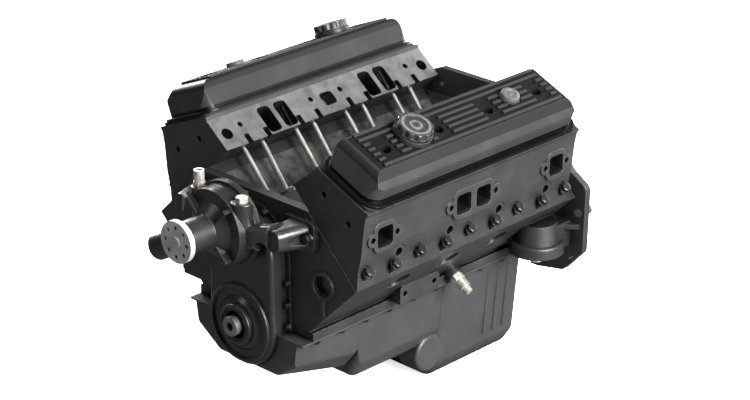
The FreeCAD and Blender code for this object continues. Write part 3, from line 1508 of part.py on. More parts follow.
def timing_bolt_places():
    reach = timing_flange_reach / 2 + timing_high_radius + 0.7
    side_x = timing_low_radius + timing_flange_reach / 2 + 0.7
    places = [(s * side_x, z) for s in (-1, 1) for z in (9.0, 44.0, 80.0)]
    for angle in (-62, -22, 22, 62):
        x, z = throw_point(angle, reach)
        places.append((x, cam_height + z))
    return places


def make_timing_cover():
    shell = hull_outline(0, front_y).extrude(V(0, -timing_cover_depth, 0))
    edges = [e for e in shell.Edges if e.BoundBox.YMax < front_y - timing_cover_depth + 0.1]
    shell = shell.makeFillet(7.0, edges)
    flange = hull_outline(timing_flange_reach, front_y).extrude(V(0, -timing_flange, 0))
    flange = flange.cut(box(-120, 120, front_y - 10, front_y + 1, -120, 0.5))
    nose = cone(nose_radius + 4, nose_radius - 6, (0, front_y - timing_cover_depth + 1, 0),
                (0, front_y - seal_nose_depth + 7, 0))
    panel_y = front_y - timing_cover_depth
    rim = rod(timing_low_radius - 6, (0, panel_y + 1, 0), (0, panel_y - 5, 0))
    rim = rim.makeFillet(2.5, [e for e in rim.Edges if e.BoundBox.YMax < panel_y - 4.9])
    dish = rod(timing_low_radius - 12, (0, panel_y - 1.5, 0), (0, panel_y - 6, 0))
    lip = rod(seal_radius + 6, (0, panel_y, 0), (0, front_y - seal_nose_depth, 0))
    lip = lip.makeFillet(2.0, [e for e in lip.Edges if e.BoundBox.YMax < front_y - seal_nose_depth + 0.1])
    body = join([shell, flange, rim.cut(dish), nose, lip])
    hollow = hull_outline(-timing_wall, front_y + 1).extrude(V(0, -timing_cover_depth + timing_wall - 1, 0))
    inner_edges = [e for e in hollow.Edges if e.BoundBox.YMax < front_y - timing_cover_depth + timing_wall + 0.1]
    hollow = hollow.makeFillet(5.5, inner_edges)
    tools = [hollow, rod(seal_radius + seat_gap, (0, front_y - seal_nose_depth - 1, 0), (0, front_y, 0))]
    for x, z in timing_bolt_places():
        tools.append(rod(timing_bolt_radius + 0.3, (x, front_y - 10, z), (x, front_y + 1, z)))
    return cut(body, tools)


def make_timing_bolts():
    bolts = []
    for x, z in timing_bolt_places():
        bolts.append(bolt((x, front_y - timing_flange, z), (0, -1, 0), timing_bolt_radius, 16.0, 8.6, 5.5,
                          5.2))
    return group(bolts)


def make_front_seal():
    y0 = front_y - seal_nose_depth + 1.0
    ring = rod(seal_radius, (0, y0, 0), (0, y0 + 10, 0))
    return ring.cut(rod(seal_bore_radius, (0, y0 - 1, 0), (0, y0 + 11, 0)))


# Water pump

volute_front_y = front_y - 88.0
volute_back_y = front_y - 52.0
backplate_thickness = 4.0
snout_tube_radius = 26.0
hub_rear_y = hub_front_y + hub_thickness
pump_bearing_front = hub_rear_y + 6.0
pump_bearing_rear = volute_front_y - 6.0
hub_bolt_circle = 46.0
hub_bolt_radius = 3.2
neck_end = (-122.0, front_y - 86.0, 106.0)
neck_start = (-26.0, front_y - 72.0, 158.0)
neck_radius = 20.5
spigot_radius = 22.0
spigot_length = 32.0
neck_bore = 18.0
foot_inner_x = 70.0
foot_outer_x = 136.0
pump_screw_radius = 3.0


def pump_leg(side):
    """One arm from the volute to the block, swelling round its coolant passage, with a foot for two bolts."""
    z = pump_height
    arm = Part.makeLoft([rounded_section((side * 22, volute_front_y + 22, z - 2), (0, 1, 0), (0, 0, 1), 15,
                                         30, 12),
                         rounded_section((side * 62, volute_front_y + 27, z - 1), (0, 1, 0), (0, 0, 1), 15,
                                         20, 11),
                         rounded_section((side * 92, volute_back_y + 9, z + 1), (0, 1, 0), (0, 0, 1), 20,
                                         21, 11)],
                        True, False)
    knee = rounded_section((side * 103, front_y, z - 1), (1, 0, 0), (0, 0, 1), 25, 21, 11)
    elbow = rounded_section((side * 98, volute_back_y - 6, z), (1, 0, 0), (0, 0, 1), 15, 17, 11)
    pieces = [arm, Part.makeLoft([knee, elbow], True, True)]
    for x, bolt_z in pump_leg_bolts:
        pieces.append(rod(11.0, (side * x, front_y - 9, bolt_z), (side * x, front_y, bolt_z)))
    x0, x1 = sorted((side * foot_inner_x, side * foot_outer_x))
    foot = box(x0, x1, front_y - 9, front_y, z - 26, z + 24)
    edges = [e for e in foot.Edges if abs(e.tangentAt(0).y) > 0.9]
    pieces.append(foot.makeFillet(11.0, edges))
    return pieces


def make_pump_housing():
    z = pump_height
    pieces = [rod(volute_radius, (0, volute_front_y, z), (0, volute_back_y, z)),
              cone(snout_tube_radius, 44.0, (0, pump_bearing_rear - 8, z), (0, volute_front_y + 1, z)),
              rod(snout_tube_radius, (0, pump_bearing_front - 1, z), (0, pump_bearing_rear, z)),
              rod(volute_radius + 5, (0, volute_back_y - 7, z), (0, volute_back_y, z))]
    for side in (-1, 1):
        pieces += pump_leg(side)
    for x, radius, top in ((46, 17.0, 52), (-46, 13.0, 50)):
        boss = rod(radius, (x, front_y - 68, z + 4), (x, front_y - 68, z + top))
        boss = boss.makeFillet(2.5, [e for e in boss.Edges if e.BoundBox.ZMin > z + top - 0.1])
        pieces.append(boss)
    pieces.append(rod(neck_radius, neck_start, neck_end))
    outward = (V(*neck_end) - V(*neck_start)).normalize()
    pieces.append(rod(spigot_radius, tuple(V(*neck_end) - outward * spigot_length), neck_end))
    web = prism_y([(-46, z + 10), (46, z + 10), (40, z + 34), (-40, z + 26)], front_y - 74, front_y - 62)
    pieces.append(web)
    for i in range(4):
        x, dz = throw_point(45 + 90 * i, 1.0)
        rib = prism_y([(-3, 20), (3, 20), (3, volute_radius - 3), (-3, volute_radius - 3)],
                      volute_front_y - 12, volute_front_y + 2)
        pieces.append(rib.rotated(V(0, 0, 0), V(0, 1, 0), 45 + 90 * i).translated(V(0, 0, z)))
    body = join(pieces)
    tools = [rod(volute_radius + 5.5, (0, volute_back_y, z), (0, volute_back_y + 10, z)),
             rod(pump_bearing_radius + seat_gap, (0, pump_bearing_front - 2, z), (0, pump_bearing_rear, z)),
             rod(pump_shaft_radius + 3.0, (0, pump_bearing_rear - 1, z), (0, volute_front_y + 10, z)),
             rod(volute_radius - 10, (0, volute_front_y + 5, z), (0, volute_back_y + 1, z)),
             rod(neck_bore, neck_start, neck_end),
             rod(neck_bore, neck_end, tuple(V(*neck_end) + outward * 3)),
             rod(9.5, (46, front_y - 68, z + 34), (46, front_y - 68, z + 53)),
             rod(6.0, (-46, front_y - 68, z + 30), (-46, front_y - 68, z + 51))]
    px, pz = coolant_port
    for side in (-1, 1):
        tools.append(rod(12.0, (side * 34, volute_front_y + 18, z), (side * px, front_y - 26, pz)))
        tools.append(rod(coolant_port_radius, (side * px, front_y - 30, pz), (side * px, front_y + 1, pz)))
        for x, bz in pump_leg_bolts:
            tools.append(rod(pump_bolt_radius + seat_gap, (side * x, front_y - 60, bz), (side * x,
                                                                                         front_y + 1, bz)))
            tools.append(rod(9.5, (side * x, front_y - 90, bz), (side * x, front_y - 9, bz)))
    for i in range(6):
        x, dz = throw_point(60 * i + 30, volute_radius)
        tools.append(rod(pump_screw_radius + seat_gap, (x, volute_back_y - 14, z + dz), (x,
                                                                                         volute_back_y + 1, z + dz)))
    return max(cut(body, tools).Solids, key=lambda solid: solid.Volume)


def make_pump_backplate():
    z = pump_height
    plate = rod(volute_radius + 5, (0, volute_back_y, z), (0, volute_back_y + backplate_thickness, z))
    tools = []
    for i in range(6):
        x, dz = throw_point(60 * i + 30, volute_radius)
        tools.append(rod(pump_screw_radius + seat_gap, (x, volute_back_y - 1, z + dz), (x,
                                                                                        volute_back_y + 9, z + dz)))
    return cut(plate, tools)


def make_pump_bolts():
    bolts = []
    for side in (-1, 1):
        for x, z in pump_leg_bolts:
            bolts.append(bolt((side * x, front_y - 9, z), (0, -1, 0), pump_bolt_radius, 32.0, 14.0, 8.0, 8.6))
    for i in range(6):
        x, dz = throw_point(60 * i + 30, volute_radius)
        seat = (x, volute_back_y + backplate_thickness, pump_height + dz)
        bolts.append(bolt(seat, (0, 1, 0), pump_screw_radius, 14.0, 8.0, 4.5))
    return group(bolts)


def make_pump_bearing():
    z = pump_height
    ring = rod(pump_bearing_radius, (0, pump_bearing_front, z), (0, pump_bearing_rear - 0.5, z))
    return ring.cut(rod(pump_shaft_radius + running_gap, (0, pump_bearing_front - 1, z), (0,
                                                                                          pump_bearing_rear, z)))


def make_pump_hub():
    z = pump_height
    disc = rod(hub_radius, (0, hub_front_y, z), (0, hub_rear_y, z))
    boss = rod(15.0, (0, hub_rear_y - 1, z), (0, pump_bearing_front - 0.6, z))
    pilot = rod(9.0, (0, hub_front_y - 2.0, z), (0, hub_front_y + 1, z))
    body = join([disc, boss, pilot])
    tools = [rod(pump_shaft_radius + seat_gap, (0, hub_front_y + 1.0, z), (0, pump_bearing_front, z))]
    for i in range(8):
        x, dz = throw_point(45 * i, hub_bolt_circle / 2)
        tools.append(rod(hub_bolt_radius, (x, hub_front_y - 1, z + dz), (x, hub_rear_y + 1, z + dz)))
    return cut(body, tools)


def make_pump_rotor():
    z = pump_height
    back = volute_back_y - 4.0
    shaft = rod(pump_shaft_radius, (0, hub_front_y + 1.2, z), (0, back, z))
    disc = rod(impeller_radius, (0, back - 3, z), (0, back, z))
    hub = rod(14.0, (0, back - 18, z), (0, back, z))
    vanes = []
    for i in range(6):
        vane = box(10, impeller_radius - 1, -1.6, 1.6, 0, 14)
        vane = vane.rotated(V(0, 0, 0), V(1, 0, 0), 90)
        vane = vane.rotated(V(10, 0, 0), V(0, 1, 0), 24)
        vane = vane.rotated(V(0, 0, 0), V(0, 1, 0), 60 * i)
        vanes.append(vane.translated(V(0, back - 2, z)))
    impeller = join([disc, hub] + vanes).cut(rod(pump_shaft_radius + seat_gap, (0, back - 40, z), (0,
                                                                                                   back + 2, z)))
    return group([shaft, impeller])


def make_pump_fittings():
    z = pump_height
    plug = hex_prism(17.0, 7.0, (46, front_y - 68, z + 52), (0, 0, 1))
    plug = join([plug, rod(9.5 - seat_gap, (46, front_y - 68, z + 36), (46, front_y - 68, z + 53))])
    nipple = rod(8.0, (-46, front_y - 68, z + 50), (-46, front_y - 68, z + 76))
    root = rod(6.0 - seat_gap, (-46, front_y - 68, z + 34), (-46, front_y - 68, z + 51))
    nut = hex_prism(16.0, 7.0, (-46, front_y - 68, z + 50), (0, 0, 1))
    nipple = join([nipple, root, nut]).cut(rod(4.6, (-46, front_y - 68, z + 20), (-46, front_y - 68, z + 80)))
    return group([plug, nipple])


# Oil pan, and what hangs in it

pan_top_z = -pan_gasket
pan_half_width = 112.0
front_end_depth = 74.0
pan_notch_radius = timing_low_radius + 2.5
rear_notch_radius = seal_housing_radius + 2.5
pan_front_y = front_y - pan_front_end
drain_y = -120.0
bulge_radius = 32.0
bulge_y = -226.0
bulge_z = -133.0
drain_z = -166.0
drain_x = -97.0


def pan_section(y, depth, mid, half_mid, half_low, inset):
    top = pan_half_width - inset
    z_top = pan_top_z - pan_flange + (1 if inset > 0 else 0) * 5
    points = [(-top, z_top), (top, z_top), (half_mid - inset, -mid + inset / 2), (half_low - inset,
                                                                                  -depth + inset),
              (-half_low + inset, -depth + inset), (-half_mid + inset, -mid + inset / 2)]
    return polygon([(x, y, z) for x, z in points])


def pan_solid(inset):
    """The pan's body: a shallow nose, a deeper middle and the sump, each with its pressed edges rounded."""
    front = Part.makeLoft([pan_section(pan_front_y + inset, front_end_depth, 46, 106, 62, inset),
                           pan_section(pan_middle_y, pan_front_depth + 8, 68, 106, 84, inset)], True, True)
    front = front.makeFillet(12.0 - inset, [e for e in front.Edges if e.BoundBox.ZMax < -20])
    middle = Part.Face(pan_section(pan_middle_y + inset / 2 - 4, pan_middle_depth, 92, 104, 90, inset))
    middle = middle.extrude(V(0, sump_front_y - pan_middle_y + 10, 0))
    low = [e for e in middle.Edges if e.BoundBox.ZMax < -20 and e.BoundBox.YMin < sump_front_y]
    middle = middle.makeFillet(14.0 - inset, low)
    sump = Part.Face(pan_section(sump_front_y + inset, sump_depth, 160, 98, 78, inset))
    sump = sump.extrude(V(0, sump_rear_y - sump_front_y - 2 * inset, 0))
    sump = sump.makeFillet(18.0 - inset, [e for e in sump.Edges if e.BoundBox.ZMin < -50])
    return join([front, middle, sump])


def make_oil_pan():
    flange = box(-rail_half_width, rail_half_width, pan_front_y, -flange_thickness - 1.0,
                 pan_top_z - pan_flange, pan_top_z)
    bulge = rod(bulge_radius, (62, bulge_y, bulge_z), (101, bulge_y, bulge_z))
    bulge = bulge.makeFillet(6.0, [e for e in bulge.Edges if e.BoundBox.XMin > 100])
    beads = []
    for y in (-96.0, -72.0, -48.0):
        beads.append(rod(4.0, (108, y, -30), (99, y, -142)))
        beads.append(rod(4.0, (-108, y, -30), (-99, y, -142)))
    boss = rod(14.0, (drain_x - 4, drain_y, drain_z), (drain_x + 12, drain_y, drain_z))
    body = join([pan_solid(0), flange, bulge, boss] + beads)
    hollow = pan_solid(pan_wall)
    opening = box(-pan_half_width + pan_wall, pan_half_width - pan_wall, front_y + 3, sump_rear_y - pan_wall,
                  pan_top_z - pan_flange - 1, pan_top_z + 1)
    lid = box(-200, 200, pan_front_y - 1, front_y + 3, pan_top_z - pan_flange, pan_top_z + 40)
    lid = lid.fuse(box(-200, 200, sump_rear_y - pan_wall, 10, pan_top_z - pan_flange, pan_top_z + 40))
    tools = [hollow.cut(lid), opening,
             rod(bulge_radius - pan_wall, (64, bulge_y, bulge_z), (99, bulge_y, bulge_z)),
             rod(pan_notch_radius, (0, pan_front_y - 1, 0), (0, front_y + 3, 0)),
             rod(rear_notch_radius, (0, sump_rear_y - 4, 0), (0, 1, 0)),
             rod(8.0, (drain_x - 20, drain_y, drain_z), (drain_x + 13, drain_y, drain_z))]
    for y in pan_bolt_ys:
        for x in (-pan_bolt_x, pan_bolt_x):
            tools.append(rod(pan_bolt_radius + 0.3, (x, y, -10), (x, y, 0)))
            tools.append(rod(6.4, (x, y, -60), (x, y, pan_top_z - pan_flange)))
    return cut(body, tools)


def make_pan_gasket():
    strips = []
    for s in (-1, 1):
        x0, x1 = sorted((s * (pan_half_width - pan_wall + 1), s * rail_half_width))
        strip = box(x0, x1, front_y, -flange_thickness - 1.0, pan_top_z, 0)
        holes = [rod(pan_bolt_radius + 0.3, (s * pan_bolt_x, y, -5), (s * pan_bolt_x, y,
                                                                      1)) for y in pan_bolt_ys]
        strips.append(cut(strip, holes))
    for radius, y0, y1, outer in ((timing_low_radius, pan_front_y, pan_front_y + pan_wall + 5,
                                   pan_notch_radius),
                                  (seal_housing_radius, sump_rear_y - pan_wall, sump_rear_y + 6,
                                   rear_notch_radius)):
        ring = rod(outer - seat_gap, (0, y0, 0), (0, y1, 0)).cut(rod(radius + seat_gap, (0, y0 - 1, 0), (0,
                                                                                                         y1 + 1, 0)))
        strips.append(ring.common(box(-100, 100, y0 - 1, y1 + 1, -100, pan_top_z)))
    return group(strips)


def make_pan_bolts():
    bolts = []
    for y in pan_bolt_ys:
        for x in (-pan_bolt_x, pan_bolt_x):
            seat = (x, y, pan_top_z - pan_flange)
            bolts.append(bolt(seat, (0, 0, -1), pan_bolt_radius, 15.0, 9.0, 5.0, 5.6))
    return group(bolts)


def make_drain_plug():
    body = rod(8.0 - seat_gap, (drain_x - 4, drain_y, drain_z), (drain_x + 11, drain_y, drain_z))
    washer = rod(12.0, (drain_x - 6, drain_y, drain_z), (drain_x - 4, drain_y, drain_z))
    head = hex_prism(18.0, 8.0, (drain_x - 6, drain_y, drain_z), (-1, 0, 0))
    return join([body, washer, head])


def make_rear_seal_housing():
    tube = rod(seal_housing_radius, (0, -rear_seal_depth + 0.05, 0), (0, -0.5, 0))
    inner = [rod(crank_flange_radius + 2.0, (0, -rear_seal_depth - 1, 0), (0, 1, 0)),
             rod(crank_flange_radius + 4.5, (0, -14, 0), (0, 1, 0))]
    return cut(tube, inner)


def make_rear_seal():
    ring = rod(crank_flange_radius + 4.5 - seat_gap, (0, -13.5, 0), (0, -2, 0))
    return ring.cut(rod(crank_flange_radius + 0.3, (0, -15, 0), (0, 0, 0)))


# Oil pump, built upright about its drive axis and then tilted on to it

gear_face = 18.0
gear_pitch_radius = oil_gear_module * oil_gear_teeth / 2
gear_pressure_angle = 25.0
gear_addendum = 0.72
gear_dedendum = 1.0
gear_backlash = 0.35
gear_top = -10.0
pump_body_bottom = -40.0


def on_drive(shape):
    a = V(*drive_bottom)
    b = V(*drive_top)
    tilt = math.degrees(math.atan2(b.x - a.x, b.z - a.z))
    return shape.rotated(V(0, 0, 0), V(0, 1, 0), tilt).translated(a)


def gear_wire(z, first_angle):
    """Outline of one spur gear: involute flanks, arcs at tips and roots."""
    pitch = gear_pitch_radius
    base = pitch * math.cos(math.radians(gear_pressure_angle))
    tip = pitch + gear_addendum * oil_gear_module
    root = pitch - gear_dedendum * oil_gear_module
    def involute(r):
        a = math.acos(base / r)
        return math.tan(a) - a
    half = math.pi / (2 * oil_gear_teeth) - gear_backlash / (4 * pitch) + involute(pitch)
    points = []
    for i in range(oil_gear_teeth):
        centre = math.radians(first_angle) + 2 * math.pi * i / oil_gear_teeth
        flank = [base + (tip - base) * k / 5.0 for k in range(6)]
        side = [(r, half - involute(r)) for r in flank]
        points.append((root, centre - half))
        points += [(r, centre - a) for r, a in side]
        points += [(r, centre + a) for r, a in reversed(side)]
        points.append((root, centre + half))
    return polygon([(r * math.cos(a), r * math.sin(a), z) for r, a in points])


def make_gear(first_angle, x, bore):
    gear = Part.Face(gear_wire(gear_top - gear_face, first_angle)).extrude(V(0, 0, gear_face))
    if bore > 0:
        gear = gear.cut(rod(bore, (0, 0, gear_top - 40), (0, 0, gear_top + 5)))
    return gear.translated(V(x, 0, 0))


def make_drive_gear():
    shaft = rod(drive_shaft_radius, (0, 0, pump_body_bottom + 4), (0, 0, 140))
    tang = box(-1.6, 1.6, -drive_shaft_radius, drive_shaft_radius, 135, 146)
    return on_drive(join([make_gear(0, 0, 0), shaft, tang]))


def make_idler_gear():
    return on_drive(make_gear(180.0 / oil_gear_teeth, -2 * gear_pitch_radius, 5.0 + running_gap))


def make_pump_body():
    r = gear_pitch_radius + gear_addendum * oil_gear_module + 0.1
    x = -2 * gear_pitch_radius
    body = box(x - 17, 17, -15, 15, pump_body_bottom, 0)
    edges = [e for e in body.Edges if abs(e.tangentAt(0).z) > 0.9]
    body = body.makeFillet(13.0, edges)
    body = body.cut(box(x - 40, 40, -40, 40, pump_body_bottom + 6.0, pump_body_bottom + 6.04))
    cavity = [rod(r, (0, 0, gear_top - gear_face - 0.05), (0, 0, gear_top + 0.05)),
              rod(r, (x, 0, gear_top - gear_face - 0.05), (x, 0, gear_top + 0.05)),
              rod(drive_shaft_radius + running_gap, (0, 0, pump_body_bottom + 1), (0, 0, 1)),
              rod(5.0, (x / 2, 30, gear_top - 9), (x / 2, 0, gear_top - 9)),
              rod(5.0, (x / 2, -30, gear_top - 9), (x / 2, 0, gear_top - 9))]
    body = cut(body, cavity)
    post = rod(5.0, (x, 0, pump_body_bottom + 6.1), (x, 0, gear_top + 1))
    body = on_drive(join([body, post]))
    pad = box(30, cap_half_width - 4, drive_bottom[1] - 15, main_ys[-1] + bulkhead_width / 2 - 1,
              -cap_height - 12, -cap_height)
    pad = pad.cut(on_drive(join([t.copy() for t in cavity[:2]])))
    return join([body, pad])


def make_pickup():
    x, y, z = on_drive_line(gear_top - 9)
    a = (x - gear_pitch_radius * 0.97, y - 15, z - gear_pitch_radius * 0.24)
    b = (a[0], y - 50, a[2])
    c = (28, y - 105, -sump_depth + 26)
    pieces = [rod(5.0 - seat_gap, (a[0], a[1] + 2.2, a[2]), a), rod(7.0, a, b), Part.makeSphere(7.0, V(*b)),
              rod(7.0, b, c),
              Part.makeSphere(7.0, V(*c)), cone(14.0, 32.0, c, (c[0], c[1], -sump_depth + 12)),
              rod(32.0, (c[0], c[1], -sump_depth + 12), (c[0], c[1], -sump_depth + 7))]
    return join(pieces)


# Small fittings

def make_knock_sensor():
    stem = rod(knock_radius, knock_point(-12), knock_point(1))
    along = V(*knock_point(1)) - V(*knock_point(0))
    nut = hex_prism(20.0, 9.0, knock_point(0), tuple(along))
    bulb = rod(9.5, knock_point(8), knock_point(24))
    end = cone(7.5, 6.0, knock_point(23), knock_point(34))
    return join([stem, nut, bulb, end])


def make_dowels():
    pins = []
    x, z = bell_dowel
    for s in (-1, 1):
        root = rod(dowel_root_radius, (s * x, -flange_thickness, z), (s * x, 1, z))
        pins.append(join([root, rod(dowel_radius, (s * x, 0, z), (s * x, dowel_reach, z))]))
    return group(pins)


def make_filter_adapter():
    base = filter_bottom_z + 12
    disc = rod(filter_recess_radius - seat_gap, (filter_x, filter_y, base - 9), (filter_x, filter_y, base))
    nipple = rod(10.3, (filter_x, filter_y, base - 30), (filter_x, filter_y, base - 8))
    tools = [rod(7.0, (filter_x, filter_y, base - 31), (filter_x, filter_y, base + 1))]
    for i in range(8):
        x, y = throw_point(45 * i, 26.0)
        tools.append(rod(4.5, (filter_x + x, filter_y + y, base - 10), (filter_x + x, filter_y + y,
                                                                        base + 1)))
    return cut(join([disc, nipple]), tools)


def make_fuel_plate():
    x = fuel_pad_x
    plate = box(x - 4, x, fuel_pad_y - 29, fuel_pad_y + 29, fuel_pad_z - 17, fuel_pad_z + 17)
    edges = [e for e in plate.Edges if abs(e.tangentAt(0).x) > 0.9]
    plate = plate.makeFillet(9.0, edges)
    bolts = []
    tools = []
    for y in (fuel_pad_y - 21, fuel_pad_y + 21):
        tools.append(rod(fuel_bolt_radius + 0.1, (x - 5, y, fuel_pad_z), (x + 1, y, fuel_pad_z)))
        bolts.append(bolt((x - 4, y, fuel_pad_z), (-1, 0, 0), fuel_bolt_radius, 20.0, 13.0, 6.5, 7.5))
    return group([cut(plate, tools)] + bolts)


export("cylinder_block", make_block())
export("core_plugs", make_core_plugs())
export("bellhousing_dowels", make_dowels())
export("main_bearing_caps", make_main_caps())
export("main_cap_bolts", make_main_cap_bolts())
export("main_bearing_shells", make_main_bearings())
export("crankshaft", make_crankshaft())
export("crank_sprocket", make_crank_sprocket())
export("camshaft", make_camshaft())
export("cam_sprocket", make_cam_sprocket())
export("timing_chain", make_chain())
export("pistons", make_pistons())
export("piston_rings", make_piston_rings())
export("wrist_pins", make_wrist_pins())
export("connecting_rods", make_rods())
export("rod_caps", make_rod_caps())
export("rod_bolts", make_rod_bolts())
export("lifters", make_lifters())
export("pushrods", make_pushrods())
export("rocker_arms", make_rockers())
export("rocker_studs", make_rocker_studs())
export("rocker_nuts", make_rocker_nuts())
export("intake_valves", make_valves("intake"))
export("exhaust_valves", make_valves("exhaust"))
export("valve_springs", make_springs())
export("spring_retainers", make_retainers())
head_casting = join([make_head()] + cover_bolt_bosses())
head_casting = cut(head_casting, cover_bolt_holes())
export("cylinder_head_left", place(head_casting, 1))
export("cylinder_head_right", place(head_casting, -1))
export("head_gaskets", make_head_gaskets())
export("head_bolts", make_head_bolts())
cover = on_rail(make_valve_cover())
export("valve_cover_left", place(cover, 1))
export("valve_cover_right", place(cover, -1))
export("valve_cover_gaskets", make_cover_gaskets())
export("valve_cover_bolts", make_cover_bolts())
filler_cap = on_rail(make_filler_cap())
export("oil_filler_cap_left", place(filler_cap, 1))
export("oil_filler_cap_right", place(filler_cap, -1))
export("breather_plugs", make_breather_plugs())
export("timing_cover", make_timing_cover())
export("timing_cover_bolts", make_timing_bolts())
export("front_crank_seal", make_front_seal())
export("water_pump_housing", make_pump_housing())
export("water_pump_backplate", make_pump_backplate())
export("water_pump_bolts", make_pump_bolts())
export("water_pump_bearing", make_pump_bearing())
export("water_pump_hub", make_pump_hub())
export("water_pump_rotor", make_pump_rotor())
export("water_pump_fittings", make_pump_fittings())
export("oil_pan", make_oil_pan())
export("oil_pan_gasket", make_pan_gasket())
export("oil_pan_bolts", make_pan_bolts())
export("oil_drain_plug", make_drain_plug())
export("rear_seal_housing", make_rear_seal_housing())
export("rear_crank_seal", make_rear_seal())
export("oil_pump_drive_gear", make_drive_gear())
export("oil_pump_idler_gear", make_idler_gear())
export("oil_pump_body", make_pump_body())
export("oil_pickup", make_pickup())
export("knock_sensor", make_knock_sensor())
export("oil_filter_adapter", make_filter_adapter())
export("fuel_pump_cover", make_fuel_plate())
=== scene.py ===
import json
import math

import bmesh
import bpy
from mathutils import Matrix, Vector


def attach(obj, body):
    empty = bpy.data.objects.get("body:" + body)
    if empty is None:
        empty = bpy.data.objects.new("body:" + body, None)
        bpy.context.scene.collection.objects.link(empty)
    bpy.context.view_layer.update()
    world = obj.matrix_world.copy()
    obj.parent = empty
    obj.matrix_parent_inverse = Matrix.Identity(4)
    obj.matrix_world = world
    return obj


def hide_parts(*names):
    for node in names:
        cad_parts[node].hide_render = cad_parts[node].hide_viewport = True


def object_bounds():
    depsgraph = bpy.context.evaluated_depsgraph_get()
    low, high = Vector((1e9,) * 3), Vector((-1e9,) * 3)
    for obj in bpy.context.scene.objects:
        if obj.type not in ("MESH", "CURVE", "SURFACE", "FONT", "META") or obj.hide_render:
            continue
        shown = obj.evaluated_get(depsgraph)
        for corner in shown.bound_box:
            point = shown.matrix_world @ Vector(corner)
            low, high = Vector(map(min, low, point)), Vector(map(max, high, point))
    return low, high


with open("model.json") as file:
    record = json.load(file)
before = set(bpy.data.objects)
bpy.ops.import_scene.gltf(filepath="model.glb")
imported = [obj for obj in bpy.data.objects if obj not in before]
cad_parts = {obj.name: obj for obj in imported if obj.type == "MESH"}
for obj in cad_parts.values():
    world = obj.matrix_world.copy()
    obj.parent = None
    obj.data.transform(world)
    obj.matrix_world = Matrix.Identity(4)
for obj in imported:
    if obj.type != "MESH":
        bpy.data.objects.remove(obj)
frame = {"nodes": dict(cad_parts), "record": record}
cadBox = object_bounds()
nodes = frame["nodes"]
bodyOfNode = {n: body for body, members in frame["record"]["behaviour"]["bodies"].items() for n in members}
mm = 0.001
print("frame loaded:", len(nodes), "nodes")


def linear(hexColour):  # an sRGB hex value as the linear colour that shaders take
    channels = [int(hexColour[i:i + 2], 16) / 255 for i in (1, 3, 5)]
    return [c / 12.92 if c <= 0.04045 else ((c + 0.055) / 1.055) ** 2.4 for c in channels] + [1.0]


def addNode(tree, kind, values=None, links=None, **settings):  # one node with its settings, values and links
    node = tree.nodes.new(kind)
    for name, value in settings.items():
        setattr(node, name, value)
    for name, value in (values or {}).items():
        node.inputs[name].default_value = value
    for name, source in (links or {}).items():
        tree.links.new(source, node.inputs[name])
    return node


def newMaterial(name):
    material = bpy.data.materials.new(name)
    material.use_nodes = True
    tree = material.node_tree
    tree.nodes.clear()
    output = tree.nodes.new("ShaderNodeOutputMaterial")
    place = tree.nodes.new("ShaderNodeTexCoord").outputs["Object"]
    return material, tree, output, place


def surfaceNoise(tree, place, size, detail=3.0, roughness=0.55):  # size is the width of one lump, in metres
    return addNode(tree, "ShaderNodeTexNoise", {"Scale": 1 / size, "Detail": detail, "Roughness": roughness},
                   {"Vector": place}).outputs["Fac"]


def rampOf(tree, source, stops):  # each stop is a place from 0 to 1 with a hex colour or a plain value
    ramp = addNode(tree, "ShaderNodeValToRGB", links={"Fac": source})
    elements = ramp.color_ramp.elements
    while len(elements) < len(stops):
        elements.new(0.5)
    for element, (at, colour) in zip(elements, stops):
        element.position = at
        element.color = linear(colour) if isinstance(colour, str) else (colour, colour, colour, 1)
    return ramp.outputs["Color"]


def mixColours(tree, share, a, b):
    mix = addNode(tree, "ShaderNodeMix", data_type="RGBA")
    for socket, value in ((mix.inputs["Factor"], share), (mix.inputs[6], a), (mix.inputs[7], b)):
        if isinstance(value, bpy.types.NodeSocket):
            tree.links.new(value, socket)
        else:
            socket.default_value = value
    return mix.outputs[2]


def facing(tree, direction, least):  # 1 where the flat face looks along direction
    normal = addNode(tree, "ShaderNodeNewGeometry").outputs["True Normal"]
    dot = addNode(tree, "ShaderNodeVectorMath", links={0: normal}, operation="DOT_PRODUCT")
    dot.inputs[1].default_value = Vector(direction).normalized()
    likeness = dot.outputs["Value"]
    return addNode(tree, "ShaderNodeMath", {1: least}, {0: likeness}, operation="GREATER_THAN").outputs[0]


def between(tree, source, low, high):  # 1 where a coordinate lies between two values
    above = addNode(tree, "ShaderNodeMath", {1: low}, {0: source}, operation="GREATER_THAN").outputs[0]
    below = addNode(tree, "ShaderNodeMath", {1: high}, {0: source}, operation="LESS_THAN").outputs[0]
    return addNode(tree, "ShaderNodeMath", links={0: above, 1: below}, operation="MULTIPLY").outputs[0]


def bumpOf(tree, height, distance, strength, normal=None):
    bump = addNode(tree, "ShaderNodeBump", {"Distance": distance, "Strength": strength}, {"Height": height})
    if normal is not None:
        tree.links.new(normal, bump.inputs["Normal"])
    return bump.outputs["Normal"]


def roundedOf(tree, radius):  # a normal that rounds every edge
    return addNode(tree, "ShaderNodeBevel", {"Radius": radius}, samples=4).outputs["Normal"]


def edgesOf(tree, radius):  # the rounded normal, and a mask that is 1 along the edges
    rounded = roundedOf(tree, radius)
    flat = addNode(tree, "ShaderNodeNewGeometry").outputs["Normal"]
    likeness = addNode(tree, "ShaderNodeVectorMath", links={0: rounded, 1: flat}, operation="DOT_PRODUCT")
    return rounded, rampOf(tree, likeness.outputs["Value"], [(0.84, 1.0), (0.985, 0.0)])


def openness(tree, reach):  # 0 deep in a corner, 1 on an open face
    return addNode(tree, "ShaderNodeAmbientOcclusion", {"Distance": reach}, samples=4).outputs["AO"]


